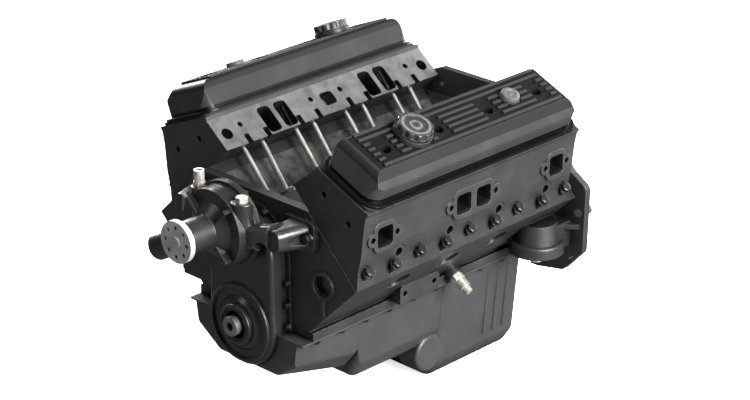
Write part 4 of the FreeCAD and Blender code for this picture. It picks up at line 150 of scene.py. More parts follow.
# Black engine enamel. Each finish has its paint, the lighter tone of worn patches that is also the painted
# highlight along its edges, the near black of the painted shade in its corners, its roughness from smooth to dull,
# and the size and depth of its grain and runs.
enamelLook = {"patches": 55 * mm, "patchShare": 0.14, "ior": 1.5, "coat": 0.12, "coatRough": 0.22, "shine": 0.5,
              "runStrength": 0.35, "grainStrength": 0.8}
enamelRecipes = {
    # Sand-cast block: satin black, a sand grain under the paint, painted shade in the corners, and a bare mottled
    # valley.
    "satinEnamelOnSandCastIron": {"paint": "#222324", "wornAndEdgeHighlight": "#555554", "cornerShade": "#050505", "rough": (0.38, 0.5),
                                  "grain": 3.4 * mm, "grainDepth": 0.45 * mm, "runs": 13 * mm,
                                  "runDepth": 0.9 * mm, "edge": 1.6 * mm, "recess": 24 * mm, "bare": "valley"},
    # Cast head: the same paint, a little smoother, a milled intake face left bare with grey blotches, and painted
    # shade inside the exhaust ports.
    "satinEnamelOnCastHead": {"paint": "#262728", "wornAndEdgeHighlight": "#5c5c5b", "cornerShade": "#060606", "rough": (0.42, 0.5),
                              "grain": 3.0 * mm, "grainDepth": 0.35 * mm, "runs": 16 * mm, "runDepth": 0.6 * mm,
                              "edge": 1.5 * mm, "recess": 42 * mm, "bare": "intake"},
    # Cast pump: thicker, glossier paint that has run over the round sections and catches the light in lumps.
    "glossyEnamelOnCastPump": {"paint": "#1e1f20", "wornAndEdgeHighlight": "#525251", "cornerShade": "#040404", "rough": (0.24, 0.36),
                               "grain": 3.2 * mm, "grainDepth": 0.4 * mm, "runs": 15 * mm, "runDepth": 1.1 * mm,
                               "edge": 1.8 * mm, "recess": 16 * mm, "bare": None},
    # Pressed sheet: smooth satin black with orange peel and soft waves, and hardly any grain.
    "satinEnamelOnPressedSheet": {"paint": "#1f2021", "wornAndEdgeHighlight": "#4c4c4b", "cornerShade": "#050505", "rough": (0.3, 0.38),
                                  "grain": 5 * mm, "grainDepth": 0.08 * mm, "runs": 30 * mm, "runDepth": 0.5 * mm,
                                  "edge": 1.4 * mm, "recess": 14 * mm, "bare": None},
    # Deep-drawn sump: the same satin black, lighter where dust and thin paint dull it.
    "dustySatinEnamelOnSump": {"paint": "#323334", "wornAndEdgeHighlight": "#555554", "cornerShade": "#0a0a0a", "rough": (0.42, 0.48),
                               "grain": 5 * mm, "grainDepth": 0.06 * mm, "runs": 38 * mm, "runDepth": 0.5 * mm,
                               "edge": 1.6 * mm, "recess": 22 * mm, "bare": None},
    # Moulded valve cover: grey sides with little shine, painted shade at the foot, on the shoulder and in the
    # grooves, and grey crests with a painted highlight.
    "powderCoatOnValveCover": {"paint": "#2b2c2d", "wornAndEdgeHighlight": "#5a5b5b", "cornerShade": "#030303", "rough": (0.36, 0.42),
                               "grain": 2.2 * mm, "grainDepth": 0.12 * mm, "runs": 45 * mm, "runDepth": 0.3 * mm,
                               "edge": 1.5 * mm, "recess": 7 * mm, "bare": "bands", "shine": 0.22, "coat": 0.0},
    # Bolt heads painted in place: nearly black, with a painted highlight on the corners of the hexagon.
    "enamelledBoltHeads": {"paint": "#0f0f10", "wornAndEdgeHighlight": "#434342", "cornerShade": "#030303", "rough": (0.28, 0.4),
                           "grain": 2.5 * mm, "grainDepth": 0.08 * mm, "runs": 9 * mm, "runDepth": 0.15 * mm,
                           "edge": 0.7 * mm, "recess": 5 * mm, "bare": None},
}
# Places where the enamel gives way: bare iron, the painted shade inside the exhaust ports, and the covers' bands
# of painted shade and highlight. Boxes are in metres, and "out" is measured from the engine's middle plane to
# either side.
bareIron = {"intake": ("#7c7d7c", "#5e5f5f"), "valley": ("#6c6c6c", "#3a3a3a"),  # milled face, rough casting
            "blotches": 26 * mm, "metal": 0.5}
intakeFaces = {"out": 0.616, "up": 0.788, "least": 0.995}  # the way they look, and the least likeness to it
valleyBox = {"out": (-0.103, 0.103), "Y": (-0.4985, -0.0155), "Z": (0.12, 0.3)}
# the near black in this box is painted shade inside the exhaust ports
exhaustPorts = {"out": (0.12, 0.2225), "Y": (-0.489, -0.040), "Z": (0.168, 0.212), "portShade": "#040404"}
railAngle = 23  # degrees that the covers and their rails lean from level
railDistance = 0.3126  # from the crank's axis to the rail, square to the rail
coverLightAndShadeBands = {  # heights above the rail in millimetres, and the painted shade or painted highlight there
    "foot": (-5, 13.5, "#030303"), "shoulder": (41, 53.4, "#1b1c1d"), "groove": (53.4, 54.9, "#020202"),
    "crest": (56.4, 58.6, "#2c2d2e")}
grooveRough = 0.8


def insideBox(tree, place, box):  # 1 inside a box and inside its mirror image on the other bank
    along = addNode(tree, "ShaderNodeSeparateXYZ", links={"Vector": place}).outputs
    out = addNode(tree, "ShaderNodeMath", links={0: along["X"]}, operation="ABSOLUTE").outputs[0]
    inside = between(tree, out, *box["out"])
    for axis in ("Y", "Z"):
        part = between(tree, along[axis], *box[axis])
        inside = addNode(tree, "ShaderNodeMath", links={0: inside, 1: part}, operation="MULTIPLY").outputs[0]
    return inside


def intakeMask(tree):  # 1 on the two milled faces that the intake manifold bolts to
    first, second = [facing(tree, (side * intakeFaces["out"], 0, intakeFaces["up"]), intakeFaces["least"])
                     for side in (-1, 1)]
    return addNode(tree, "ShaderNodeMath", links={0: first, 1: second}, operation="MAXIMUM").outputs[0]


def paintedCoverLightAndShade(tree, place, paint, rough):  # painted highlight on the crest, painted shade on the shoulder, in the groove and at the foot
    along = addNode(tree, "ShaderNodeSeparateXYZ", links={"Vector": place}).outputs
    out = addNode(tree, "ShaderNodeMath", links={0: along["X"]}, operation="ABSOLUTE").outputs[0]
    lean = math.radians(railAngle)
    rise = addNode(tree, "ShaderNodeMath", {1: math.cos(lean), 2: -railDistance}, {0: along["Z"]},
                   operation="MULTIPLY_ADD")
    height = addNode(tree, "ShaderNodeMath", {1: math.sin(lean)}, {0: out, 2: rise.outputs[0]},
                     operation="MULTIPLY_ADD").outputs[0]
    # each band paints its shade or highlight into the colour by height above the rail
    for low, high, tone in coverLightAndShadeBands.values():
        paint = mixColours(tree, between(tree, height, low * mm, high * mm), paint, linear(tone))
    low, high, _ = coverLightAndShadeBands["groove"]
    matt = (grooveRough, grooveRough, grooveRough, 1)
    return paint, mixColours(tree, between(tree, height, low * mm, high * mm), rough, matt)


def enamelMaterial(name):
    recipe = enamelRecipes[name]
    material, tree, output, place = newMaterial(name)
    patches = surfaceNoise(tree, place, enamelLook["patches"], 4.0)
    grain = surfaceNoise(tree, place, recipe["grain"], 2.0, 0.6)  # sand grain, drawn coarser than real to show
    runs = surfaceNoise(tree, place, recipe["runs"], 2.0)
    rounded, edges = edgesOf(tree, recipe["edge"])
    smooth, dull = recipe["rough"]
    thin = rampOf(tree, patches, [(0.45, 0.0), (0.8, enamelLook["patchShare"])])
    paint = mixColours(tree, thin, linear(recipe["paint"]), linear(recipe["wornAndEdgeHighlight"]))
    # painted shade: the paint turns near black deep in corners and recesses
    cornerShading = rampOf(tree, openness(tree, recipe["recess"]), [(0.35, 1.0), (0.9, 0.0)])
    paint = mixColours(tree, cornerShading, paint, linear(recipe["cornerShade"]))
    # painted highlight: the lighter tone laid along the edges, broken into patches
    edgeHighlight = addNode(tree, "ShaderNodeMath", links={0: edges, 1: patches}, operation="MULTIPLY").outputs[0]
    paint = mixColours(tree, edgeHighlight, paint, linear(recipe["wornAndEdgeHighlight"]))
    rough = rampOf(tree, patches, [(0.3, smooth), (0.7, dull)])
    if recipe["bare"] == "bands":
        paint, rough = paintedCoverLightAndShade(tree, place, paint, rough)
    shader = addNode(tree, "ShaderNodeBsdfPrincipled",
                     {"IOR": enamelLook["ior"], "Coat Weight": recipe.get("coat", enamelLook["coat"]),
                      "Coat Roughness": enamelLook["coatRough"],
                      "Specular IOR Level": recipe.get("shine", enamelLook["shine"])}, {"Roughness": rough})
    if recipe["bare"] == "intake":
        # painted shade: near black inside the exhaust ports
        paint = mixColours(tree, insideBox(tree, place, exhaustPorts), paint, linear(exhaustPorts["portShade"]))
    if recipe["bare"] in ("intake", "valley"):
        bare = intakeMask(tree) if recipe["bare"] == "intake" else insideBox(tree, place, valleyBox)
        bright, dark = bareIron[recipe["bare"]]
        blotches = surfaceNoise(tree, place, bareIron["blotches"], 5.0, 0.62)
        paint = mixColours(tree, bare, paint, rampOf(tree, blotches, [(0.36, dark), (0.62, bright)]))
        metal = addNode(tree, "ShaderNodeMath", {1: bareIron["metal"]}, {0: bare}, operation="MULTIPLY")
        tree.links.new(metal.outputs[0], shader.inputs["Metallic"])
    normal = bumpOf(tree, runs, recipe["runDepth"], enamelLook["runStrength"], rounded)
    normal = bumpOf(tree, grain, recipe["grainDepth"], enamelLook["grainStrength"], normal)
    tree.links.new(paint, shader.inputs["Base Color"])
    tree.links.new(normal, shader.inputs["Normal"])
    tree.links.new(shader.outputs[0], output.inputs["Surface"])
    return material


# Bare metals: two tones, roughness from bright to dull, the size of the patches and of the tool lines. With
# "round" the lines run round an axis along Y at that height, as a lathe leaves them; otherwise they run along Y.
# The "oil" tone is the near black painted shade laid into corners; edges take a painted highlight in the bright
# tone.
metalLook = {"edge": 0.6 * mm, "oil": "#141312", "cornerShadeReach": 9 * mm, "stretch": 0.06, "lineStrength": 0.5}
metalRecipes = {
    # Turned hub: silver grey with rings left by the lathe, dulled by handling.
    "turnedHubSteel": {"colour": ("#dddbd6", "#b0aeaa"), "metal": 0.3, "rough": (0.3, 0.5), "lump": 30 * mm,
                       "line": 1.6 * mm, "depth": 0.12 * mm, "round": 0.173},
    # Turned crank end and cam: the same rings round the crank's axis, oilier and darker.
    "turnedShaftSteel": {"colour": ("#9c9a96", "#6f6d6a"), "metal": 0.8, "rough": (0.28, 0.46), "lump": 26 * mm,
                         "line": 1.4 * mm, "depth": 0.12 * mm, "round": 0.0},
    # Ground steel: pale, even and softly bright under an oil film, with no tool lines to feel.
    "groundSteel": {"colour": ("#b3b1ac", "#9c9a95"), "metal": 0.75, "rough": (0.36, 0.42), "lump": 30 * mm,
                    "line": 14 * mm, "depth": 0.0, "round": None},
    # Heat-treated bolts and springs: dark oxide, slightly blotchy.
    "blackOxideSteel": {"colour": ("#3b3b3c", "#232324"), "metal": 0.8, "rough": (0.34, 0.5), "lump": 10 * mm,
                        "line": 1.2 * mm, "depth": 0.06 * mm, "round": None},
    # Zinc plating: the brightest thing on the engine, faintly warm, with dull spots.
    "zincPlatedSteel": {"colour": ("#dedbd2", "#b3afa3"), "metal": 0.7, "rough": (0.22, 0.4), "lump": 7 * mm,
                        "line": 1.0 * mm, "depth": 0.05 * mm, "round": None},
    # Nodular crank and rods: rough dark grey as cast, without shine.
    "castCrankIron": {"colour": ("#6c6a67", "#4a4846"), "metal": 0.6, "rough": (0.48, 0.66), "lump": 12 * mm,
                      "line": 3.0 * mm, "depth": 0.3 * mm, "round": None},
    # Piston alloy: pale, fine-turned, with a dull bloom.
    "machinedPistonAlloy": {"colour": ("#c4c6c8", "#a0a2a4"), "metal": 0.9, "rough": (0.28, 0.42), "lump": 14 * mm,
                            "line": 0.9 * mm, "depth": 0.05 * mm, "round": None},
    # Bearing metal: soft matt grey.
    "greyBearingMetal": {"colour": ("#a5a19b", "#85827c"), "metal": 0.9, "rough": (0.32, 0.48), "lump": 9 * mm,
                         "line": 1.0 * mm, "depth": 0.04 * mm, "round": None},
}


def metalMaterial(name):
    recipe = metalRecipes[name]
    material, tree, output, place = newMaterial(name)
    patches = surfaceNoise(tree, place, recipe["lump"], 5.0, 0.6)
    if recipe["round"] is None:
        scale = (1.0, metalLook["stretch"], 1.0)
        lined = addNode(tree, "ShaderNodeMapping", {"Scale": scale}, {"Vector": place}).outputs[0]
    else:
        centred = addNode(tree, "ShaderNodeMapping", {"Location": (0, 0, -recipe["round"])}, {"Vector": place})
        parts = addNode(tree, "ShaderNodeSeparateXYZ", links={"Vector": centred.outputs[0]}).outputs
        across = addNode(tree, "ShaderNodeCombineXYZ", links={"X": parts["X"], "Z": parts["Z"]}).outputs[0]
        reach = addNode(tree, "ShaderNodeVectorMath", links={0: across}, operation="LENGTH").outputs["Value"]
        lined = addNode(tree, "ShaderNodeCombineXYZ", links={"X": reach, "Y": parts["Y"]}).outputs[0]
    lines = surfaceNoise(tree, lined, recipe["line"], 1.0)
    bright, dull = recipe["colour"]
    low, high = recipe["rough"]
    colour = rampOf(tree, patches, [(0.35, dull), (0.65, bright)])
    shader = addNode(tree, "ShaderNodeBsdfPrincipled", {"Metallic": recipe["metal"]},
                     {"Roughness": rampOf(tree, lines, [(0.3, low), (0.7, high)])})
    if recipe["depth"]:  # painted shade in corners, a painted highlight along edges, and tool lines; ground pieces get none of them
        rounded, edges = edgesOf(tree, metalLook["edge"])
        # painted shade in corners, then a painted highlight along the edges
        cornerShadeShare = rampOf(tree, openness(tree, metalLook["cornerShadeReach"]), [(0.2, 0.75), (0.75, 0.0)])
        colour = mixColours(tree, cornerShadeShare, colour, linear(metalLook["oil"]))
        colour = mixColours(tree, edges, colour, linear(bright))
        normal = bumpOf(tree, lines, recipe["depth"], metalLook["lineStrength"], rounded)
        tree.links.new(normal, shader.inputs["Normal"])
    tree.links.new(colour, shader.inputs["Base Color"])
    tree.links.new(shader.outputs[0], output.inputs["Surface"])
    return material


# Moulded, rubber and fibre parts: two close tones, roughness, the mould's grain and its depth.
polymerLook = {"patches": 18 * mm, "edge": 0.9 * mm, "grainStrength": 0.6}
polymerRecipes = {
    # Filler cap: charcoal nylon, softly shining, with a fine spark-eroded grain.
    "mouldedNylonCap": {"colour": ("#262627", "#303031"), "rough": (0.38, 0.5), "grain": 1.8 * mm,
                        "depth": 0.1 * mm, "ior": 1.53},
    # The cap's raised ring: the same nylon scuffed pale by hands.
    "scuffedNylonRing": {"colour": ("#4c4c4b", "#61615f"), "rough": (0.45, 0.62), "grain": 2.2 * mm,
                         "depth": 0.12 * mm, "ior": 1.53},
    # Breather plugs: mid-grey rubbery plastic.
    "greyBreatherPlastic": {"colour": ("#4a4a49", "#575756"), "rough": (0.42, 0.58), "grain": 2 * mm,
                            "depth": 0.1 * mm, "ior": 1.5},
    # Shaft seals: matt black rubber.
    "blackSealRubber": {"colour": ("#141414", "#202020"), "rough": (0.6, 0.8), "grain": 3 * mm, "depth": 0.15 * mm,
                        "ior": 1.52},
    # Gaskets: a dark matt line of pressed fibre between the parts.
    "pressedGasketFibre": {"colour": ("#0e0e0f", "#19191a"), "rough": (0.7, 0.88), "grain": 2 * mm,
                           "depth": 0.2 * mm, "ior": 1.5},
}


def polymerMaterial(name):
    recipe = polymerRecipes[name]
    material, tree, output, place = newMaterial(name)
    patches = surfaceNoise(tree, place, polymerLook["patches"], 4.0)
    grain = surfaceNoise(tree, place, recipe["grain"], 2.0)
    dark, light = recipe["colour"]
    low, high = recipe["rough"]
    rounded = roundedOf(tree, polymerLook["edge"])
    shader = addNode(tree, "ShaderNodeBsdfPrincipled", {"IOR": recipe["ior"]},
                     {"Base Color": rampOf(tree, patches, [(0.35, dark), (0.65, light)]),
                      "Roughness": rampOf(tree, patches, [(0.3, low), (0.7, high)]),
                      "Normal": bumpOf(tree, grain, recipe["depth"], polymerLook["grainStrength"], rounded)})
    tree.links.new(shader.outputs[0], output.inputs["Surface"])
    return material


finishes = {name: enamelMaterial(name) for name in enamelRecipes}
finishes.update({name: metalMaterial(name) for name in metalRecipes})
finishes.update({name: polymerMaterial(name) for name in polymerRecipes})
finishOfNode = {
    "satinEnamelOnSandCastIron": ["cylinder_block"],
    "satinEnamelOnCastHead": ["cylinder_head_left", "cylinder_head_right"],
    "glossyEnamelOnCastPump": ["water_pump_housing", "rear_seal_housing", "core_plugs"],
    "satinEnamelOnPressedSheet": ["timing_cover", "water_pump_backplate", "fuel_pump_cover"],
    "dustySatinEnamelOnSump": ["oil_pan"],
    "powderCoatOnValveCover": ["valve_cover_left", "valve_cover_right"],
    "enamelledBoltHeads": ["head_bolts", "oil_pan_bolts", "timing_cover_bolts", "valve_cover_bolts",
                           "water_pump_bolts"],
    "mouldedNylonCap": ["oil_filler_cap_left", "oil_filler_cap_right"],
    "greyBreatherPlastic": ["breather_plugs"],
    "blackSealRubber": ["front_crank_seal", "rear_crank_seal"],
    "pressedGasketFibre": ["valve_cover_gaskets", "oil_pan_gasket", "head_gaskets"],
    "turnedHubSteel": ["water_pump_hub"],
    "turnedShaftSteel": ["camshaft", "bellhousing_dowels", "crank_sprocket", "cam_sprocket", "crankshaft"],
    "groundSteel": ["pushrods", "lifters", "wrist_pins", "intake_valves", "exhaust_valves", "rocker_arms",
                    "water_pump_rotor", "piston_rings", "spring_retainers", "oil_pump_drive_gear",
                    "oil_pump_idler_gear"],
    "blackOxideSteel": ["main_cap_bolts", "rod_bolts", "timing_chain", "valve_springs", "rocker_studs"],
    "zincPlatedSteel": ["rocker_nuts", "water_pump_fittings", "oil_drain_plug", "knock_sensor",
                        "oil_filter_adapter"],
    "castCrankIron": ["main_bearing_caps", "connecting_rods", "rod_caps", "oil_pump_body", "oil_pickup"],
    "machinedPistonAlloy": ["pistons"],
    "greyBearingMetal": ["main_bearing_shells", "water_pump_bearing"],
}
for finish, members in finishOfNode.items():
    for member in members:
        mesh = nodes[member].data
        mesh.materials.clear()
        mesh.materials.append(finishes[finish])
print("materials:", len(finishes))


def solidsOf(name):  # the corner points of each separate solid in a CAD node
    mesh = bmesh.new()
    mesh.from_mesh(nodes[name].data)
    bmesh.ops.remove_doubles(mesh, verts=mesh.verts, dist=1e-6)
    mesh.verts.ensure_lookup_table()
    seen = set()
    groups = []
    for start in mesh.verts:
        if start.index in seen:
            continue
        seen.add(start.index)
        stack = [start]
        points = []
        while stack:
            vert = stack.pop()
            points.append(vert.co.copy())
            for edge in vert.link_edges:
                other = edge.other_vert(vert)
                if other.index not in seen:
                    seen.add(other.index)
                    stack.append(other)
        groups.append(points)
    mesh.free()
    return groups


def newPiece(name, mesh):
    obj = bpy.data.objects.new(name, mesh)
    bpy.context.scene.collection.objects.link(obj)
    return obj


def handOver(obj, body, node):  # a finished piece rides on its body and stands for its node
    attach(obj, body)
    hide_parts(node)


# Hexagon bolts, one Geometry Nodes tree for every row of them. Sizes in millimetres.
boltShape = {"chamfer": 0.06, "faceTop": 0.42, "flangeTop": 0.93,  # shares of the head's width and the flange
             "faceSides": 18, "flangeSides": 28, "shankSides": 16, "widestTurn": 1.05, "turnSeed": 7}
boltSizes = {
    "headBolts": {"across": 14.0, "height": 9.5, "flange": 9.0, "rim": 1.5, "shank": 5.4, "length": 30.0},
    "coverBolts": {"across": 10.0, "height": 8.5, "flange": 8.0, "rim": 1.5, "shank": 3.2, "length": 14.0},
    "pumpBolts": {"across": 14.0, "height": 9.5, "flange": 8.6, "rim": 1.5, "shank": 4.7, "length": 30.0},
    "pumpScrews": {"across": 8.0, "height": 4.5, "flange": 4.4, "rim": 0.8, "shank": 2.4, "length": 12.0},
    "panBolts": {"across": 9.0, "height": 6.5, "flange": 5.6, "rim": 1.5, "shank": 3.0, "length": 14.0},
    "timingCoverBolts": {"across": 8.6, "height": 7.0, "flange": 5.2, "rim": 1.5, "shank": 3.0, "length": 15.0},
}


def boltTree():
    tree = bpy.data.node_groups.new("hexBolts", "GeometryNodeTree")
    sockets = tree.interface
    sockets.new_socket("Points", in_out="INPUT", socket_type="NodeSocketGeometry")
    for label in ("Across flats", "Head height", "Flange radius", "Flange thickness", "Shank radius",
                  "Shank length"):
        sockets.new_socket(label, in_out="INPUT", socket_type="NodeSocketFloat")
    sockets.new_socket("Turn seed", in_out="INPUT", socket_type="NodeSocketInt")
    sockets.new_socket("Finish", in_out="INPUT", socket_type="NodeSocketMaterial")
    sockets.new_socket("Bolts", in_out="OUTPUT", socket_type="NodeSocketGeometry")
    given = tree.nodes.new("NodeGroupInput").outputs

    def maths(operation, a, b):
        node = addNode(tree, "ShaderNodeMath", operation=operation)
        for socket, value in zip(node.inputs, (a, b)):
            if isinstance(value, bpy.types.NodeSocket):
                tree.links.new(value, socket)
            else:
                socket.default_value = value
        return node.outputs[0]

    def lifted(mesh, height):
        offset = addNode(tree, "ShaderNodeCombineXYZ", links={"Z": height}).outputs[0]
        return addNode(tree, "GeometryNodeTransform", links={"Geometry": mesh, "Translation": offset}).outputs[0]

    corner = maths("DIVIDE", given["Across flats"], 2 * math.cos(math.radians(30)))
    chamfer = maths("MULTIPLY", given["Across flats"], boltShape["chamfer"])
    hexHeight = maths("SUBTRACT", maths("SUBTRACT", given["Head height"], given["Flange thickness"]), chamfer)
    hexagon = addNode(tree, "GeometryNodeMeshCylinder", {"Vertices": 6}, {"Radius": corner, "Depth": hexHeight})
    hexMiddle = maths("ADD", given["Flange thickness"], maths("MULTIPLY", hexHeight, 0.5))
    top = addNode(tree, "GeometryNodeMeshCone", {"Vertices": boltShape["faceSides"]},
                  {"Radius Bottom": maths("MULTIPLY", given["Across flats"], 0.5),
                   "Radius Top": maths("MULTIPLY", given["Across flats"], boltShape["faceTop"]),
                   "Depth": chamfer})
    rim = addNode(tree, "GeometryNodeMeshCone", {"Vertices": boltShape["flangeSides"]},
                  {"Radius Bottom": given["Flange radius"],
                   "Radius Top": maths("MULTIPLY", given["Flange radius"], boltShape["flangeTop"]),
                   "Depth": given["Flange thickness"]})
    shank = addNode(tree, "GeometryNodeMeshCylinder", {"Vertices": boltShape["shankSides"]},
                    {"Radius": given["Shank radius"], "Depth": given["Shank length"]})
    joined = tree.nodes.new("GeometryNodeJoinGeometry")
    for part in (lifted(hexagon.outputs[0], hexMiddle),
                 lifted(top.outputs[0], maths("SUBTRACT", given["Head height"], chamfer)), rim.outputs[0],
                 lifted(shank.outputs[0], maths("MULTIPLY", given["Shank length"], -0.5))):
        tree.links.new(part, joined.inputs[0])
    outward = addNode(tree, "GeometryNodeInputNamedAttribute", {"Name": "outward"}, data_type="FLOAT_VECTOR")
    aim = addNode(tree, "FunctionNodeAlignRotationToVector", links={"Vector": outward.outputs[0]}, axis="Z")
    turn = addNode(tree, "FunctionNodeRandomValue", {2: 0.0, 3: boltShape["widestTurn"]},
                   {"Seed": given["Turn seed"]})
    turned = addNode(tree, "FunctionNodeAxisAngleToRotation", links={"Angle": turn.outputs[1]})
    both = addNode(tree, "FunctionNodeRotateRotation",
                   links={"Rotation": aim.outputs[0], "Rotate By": turned.outputs[0]}, rotation_space="LOCAL")
    placed = addNode(tree, "GeometryNodeInstanceOnPoints",
                     links={"Points": given["Points"], "Instance": joined.outputs[0], "Rotation": both.outputs[0]})
    real = addNode(tree, "GeometryNodeRealizeInstances", links={"Geometry": placed.outputs[0]})
    painted = addNode(tree, "GeometryNodeSetMaterial",
                      links={"Geometry": real.outputs[0], "Material": given["Finish"]})
    end = tree.nodes.new("NodeGroupOutput")
    tree.links.new(painted.outputs[0], end.inputs[0])
    return tree


hexBolts = boltTree()


def boltRow(name, node, seats):  # seats are (point, outward) pairs; the row stands for the CAD node
    sizes = boltSizes[name]
    points = bpy.data.meshes.new(name + "Points")
    points.from_pydata([tuple(p) for p, _ in seats], [], [])
    outward = points.attributes.new("outward", "FLOAT_VECTOR", "POINT")
    for item, (_, direction) in zip(outward.data, seats):
        item.vector = direction
    holder = newPiece(name + "Holder", points)
    modifier = holder.modifiers.new("bolts", "NODES")
    modifier.node_group = hexBolts
    values = {"Across flats": sizes["across"] * mm, "Head height": sizes["height"] * mm,
              "Flange radius": sizes["flange"] * mm, "Flange thickness": sizes["rim"] * mm,
              "Shank radius": sizes["shank"] * mm, "Shank length": sizes["length"] * mm,
              "Turn seed": boltShape["turnSeed"], "Finish": finishes["enamelledBoltHeads"]}
    for item in hexBolts.interface.items_tree:
        if item.in_out == "INPUT" and item.name in values:
            modifier[item.identifier] = values[item.name]
    bpy.context.view_layer.update()
    made = bpy.data.meshes.new_from_object(holder.evaluated_get(bpy.context.evaluated_depsgraph_get()))
    bpy.data.objects.remove(holder)
    made.set_sharp_from_angle(angle=math.radians(30))
    handOver(newPiece(name, made), "engine", node)


def seatsAlong(node, outwardOf, height):  # where each solid of a CAD node sits, height millimetres below its top
    seats = []
    for points in solidsOf(node):
        centre = sum(points, Vector()) / len(points)
        outward = Vector(outwardOf(centre)).normalized()
        top = max(p.dot(outward) for p in points)
        ends = [p for p in points if p.dot(outward) > top - 0.5 * mm]
        middle = sum(ends, Vector()) / len(ends)
        seats.append((middle + outward * (top - height * mm - middle.dot(outward)), outward))
    return seats


def leaning(degrees):  # outward for pieces on either bank that lean by this much from upright
    angle = math.radians(degrees)
    return lambda centre: (math.copysign(math.sin(angle), centre.x), 0, math.cos(angle))


deckLean, railLean = leaning(45), leaning(railAngle)
boltRow("headBolts", "head_bolts", seatsAlong("head_bolts", deckLean, boltSizes["headBolts"]["height"]))
boltRow("coverBolts", "valve_cover_bolts",
        seatsAlong("valve_cover_bolts", railLean, boltSizes["coverBolts"]["height"]))
boltRow("panBolts", "oil_pan_bolts",
        seatsAlong("oil_pan_bolts", lambda centre: (0, 0, -1), boltSizes["panBolts"]["height"]))
boltRow("timingCoverBolts", "timing_cover_bolts",
        seatsAlong("timing_cover_bolts", lambda centre: (0, -1, 0), boltSizes["timingCoverBolts"]["height"]))


pumpLegsFrom = 0.08  # further out than this, a pump bolt holds a leg


def pumpFacing(centre):  # the leg bolts look forward, the screws of the backplate look back
    return 0, -1 if abs(centre.x) > pumpLegsFrom else 1, 0


for pumpRow, wanted in (("pumpBolts", -1), ("pumpScrews", 1)):
    pumpSeats = seatsAlong("water_pump_bolts", pumpFacing, boltSizes[pumpRow]["height"])
    boltRow(pumpRow, "water_pump_bolts", [seat for seat in pumpSeats if seat[1].y * wanted > 0])
print("bolts done")


# Turned and moulded caps, spun from a profile of (radius, height, scalloped, finish index) in millimetres.
capShape = {
    "profile": [(0, -2, 0, 0), (13, -2, 0, 0), (13, -17.8, 0, 0), (15.9, -17.8, 0, 0), (15.9, 0.2, 0, 0),
                (27.2, 0.2, 0, 0), (28.4, 1.2, 0, 0), (28.4, 2.6, 0, 0), (28.4, 2.8, 1, 0), (28.4, 10.6, 1, 0),
                (27.9, 11.9, 1, 0), (26.9, 12.8, 1, 0), (25.4, 12.9, 1, 0), (23.4, 12.9, 0, 0),
                (22.9, 13.2, 0, 1), (19.3, 13.2, 0, 1), (18.8, 12.9, 0, 0), (18.2, 11.3, 0, 0),
                (11.0, 11.1, 0, 0), (10.4, 11.9, 0, 0), (9.6, 12.2, 0, 1),
                (6.4, 12.2, 0, 1), (5.8, 11.7, 0, 0), (0, 11.5, 0, 0)],
    "height": 13.2, "grips": 12, "gripRadius": 6.5, "gripCentre": 32.4, "segments": 144}
plugShape = {
    "profile": [(0, -10.4, 0, 0), (9.6, -10.4, 0, 0), (9.6, 0, 0, 0), (14.2, 0, 0, 0), (15.0, 0.8, 0, 0),
                (15.0, 5.4, 0, 0), (14.3, 7.2, 0, 0), (12.6, 8.0, 0, 0), (9.2, 8.0, 0, 0), (8.6, 7.3, 0, 0),
                (8.2, 6.4, 0, 0), (3.6, 6.2, 0, 0), (3.1, 7.0, 0, 0), (0, 7.2, 0, 0)],
    "height": 8.0, "segments": 72}


def scalloped(shape, radius, angle):  # the radius at this angle, cut in by the nearest finger grip
    step = 2 * math.pi / shape["grips"]
    off = (angle + step) % step - step / 2
    reach = shape["gripRadius"] ** 2 - (shape["gripCentre"] * math.sin(off)) ** 2
    if reach <= 0:
        return radius
    return min(radius, shape["gripCentre"] * math.cos(off) - math.sqrt(reach))


def spin(mesh, shape, base, outward):  # adds the profile, turned about outward through base, to a bmesh
    along = Vector((0, 1, 0))
    sideways = along.cross(outward).normalized()
    count = shape["segments"]
    rings = []
    for radius, height, cut, _ in shape["profile"]:
        centre = base + outward * height * mm
        if radius == 0:
            rings.append([mesh.verts.new(centre)])
            continue
        ring = []
        for i in range(count):
            angle = 2 * math.pi * i / count
            size = (scalloped(shape, radius, angle) if cut else radius) * mm
            offset = sideways * size * math.cos(angle) + along * size * math.sin(angle)
            ring.append(mesh.verts.new(centre + offset))
        rings.append(ring)
    for (low, high), (_, _, _, finish) in zip(zip(rings, rings[1:]), shape["profile"][1:]):
        for i in range(count):
            j = (i + 1) % count
            corners = [low[i % len(low)], low[j % len(low)], high[j % len(high)], high[i % len(high)]]
            face = mesh.faces.new(list(dict.fromkeys(corners)))
            face.smooth = True
            face.material_index = finish


def spunPiece(name, node, shape, finishNames, lugs=None):  # one piece for all solids of the node
    mesh = bmesh.new()
    for base, outward in seatsAlong(node, railLean, shape["height"]):
        spin(mesh, shape, base, outward)
        if lugs:
            across = Vector((0, 1, 0)).cross(outward).normalized()
            basis = Matrix((across, Vector((0, 1, 0)), outward)).transposed().to_4x4()
            for side in (-1, 1):
                middle = base + outward * lugs["height"] * mm + across * side * lugs["reach"] * mm
                made = bmesh.ops.create_cube(mesh, matrix=Matrix.Translation(middle) @ basis @ Matrix.Diagonal(
                    (lugs["length"] * mm, lugs["width"] * mm, lugs["thick"] * mm, 1)))
                rims = list({edge for vert in made["verts"] for edge in vert.link_edges})
                bmesh.ops.bevel(mesh, geom=rims, offset=lugs["edge"] * mm, segments=2, affect="EDGES")
    bmesh.ops.recalc_face_normals(mesh, faces=mesh.faces)
    data = bpy.data.meshes.new(name)
    mesh.to_mesh(data)
    mesh.free()
    for finish in finishNames:
        data.materials.append(finishes[finish])
    data.set_sharp_from_angle(angle=math.radians(32))
    handOver(newPiece(name, data), bodyOfNode[node], node)


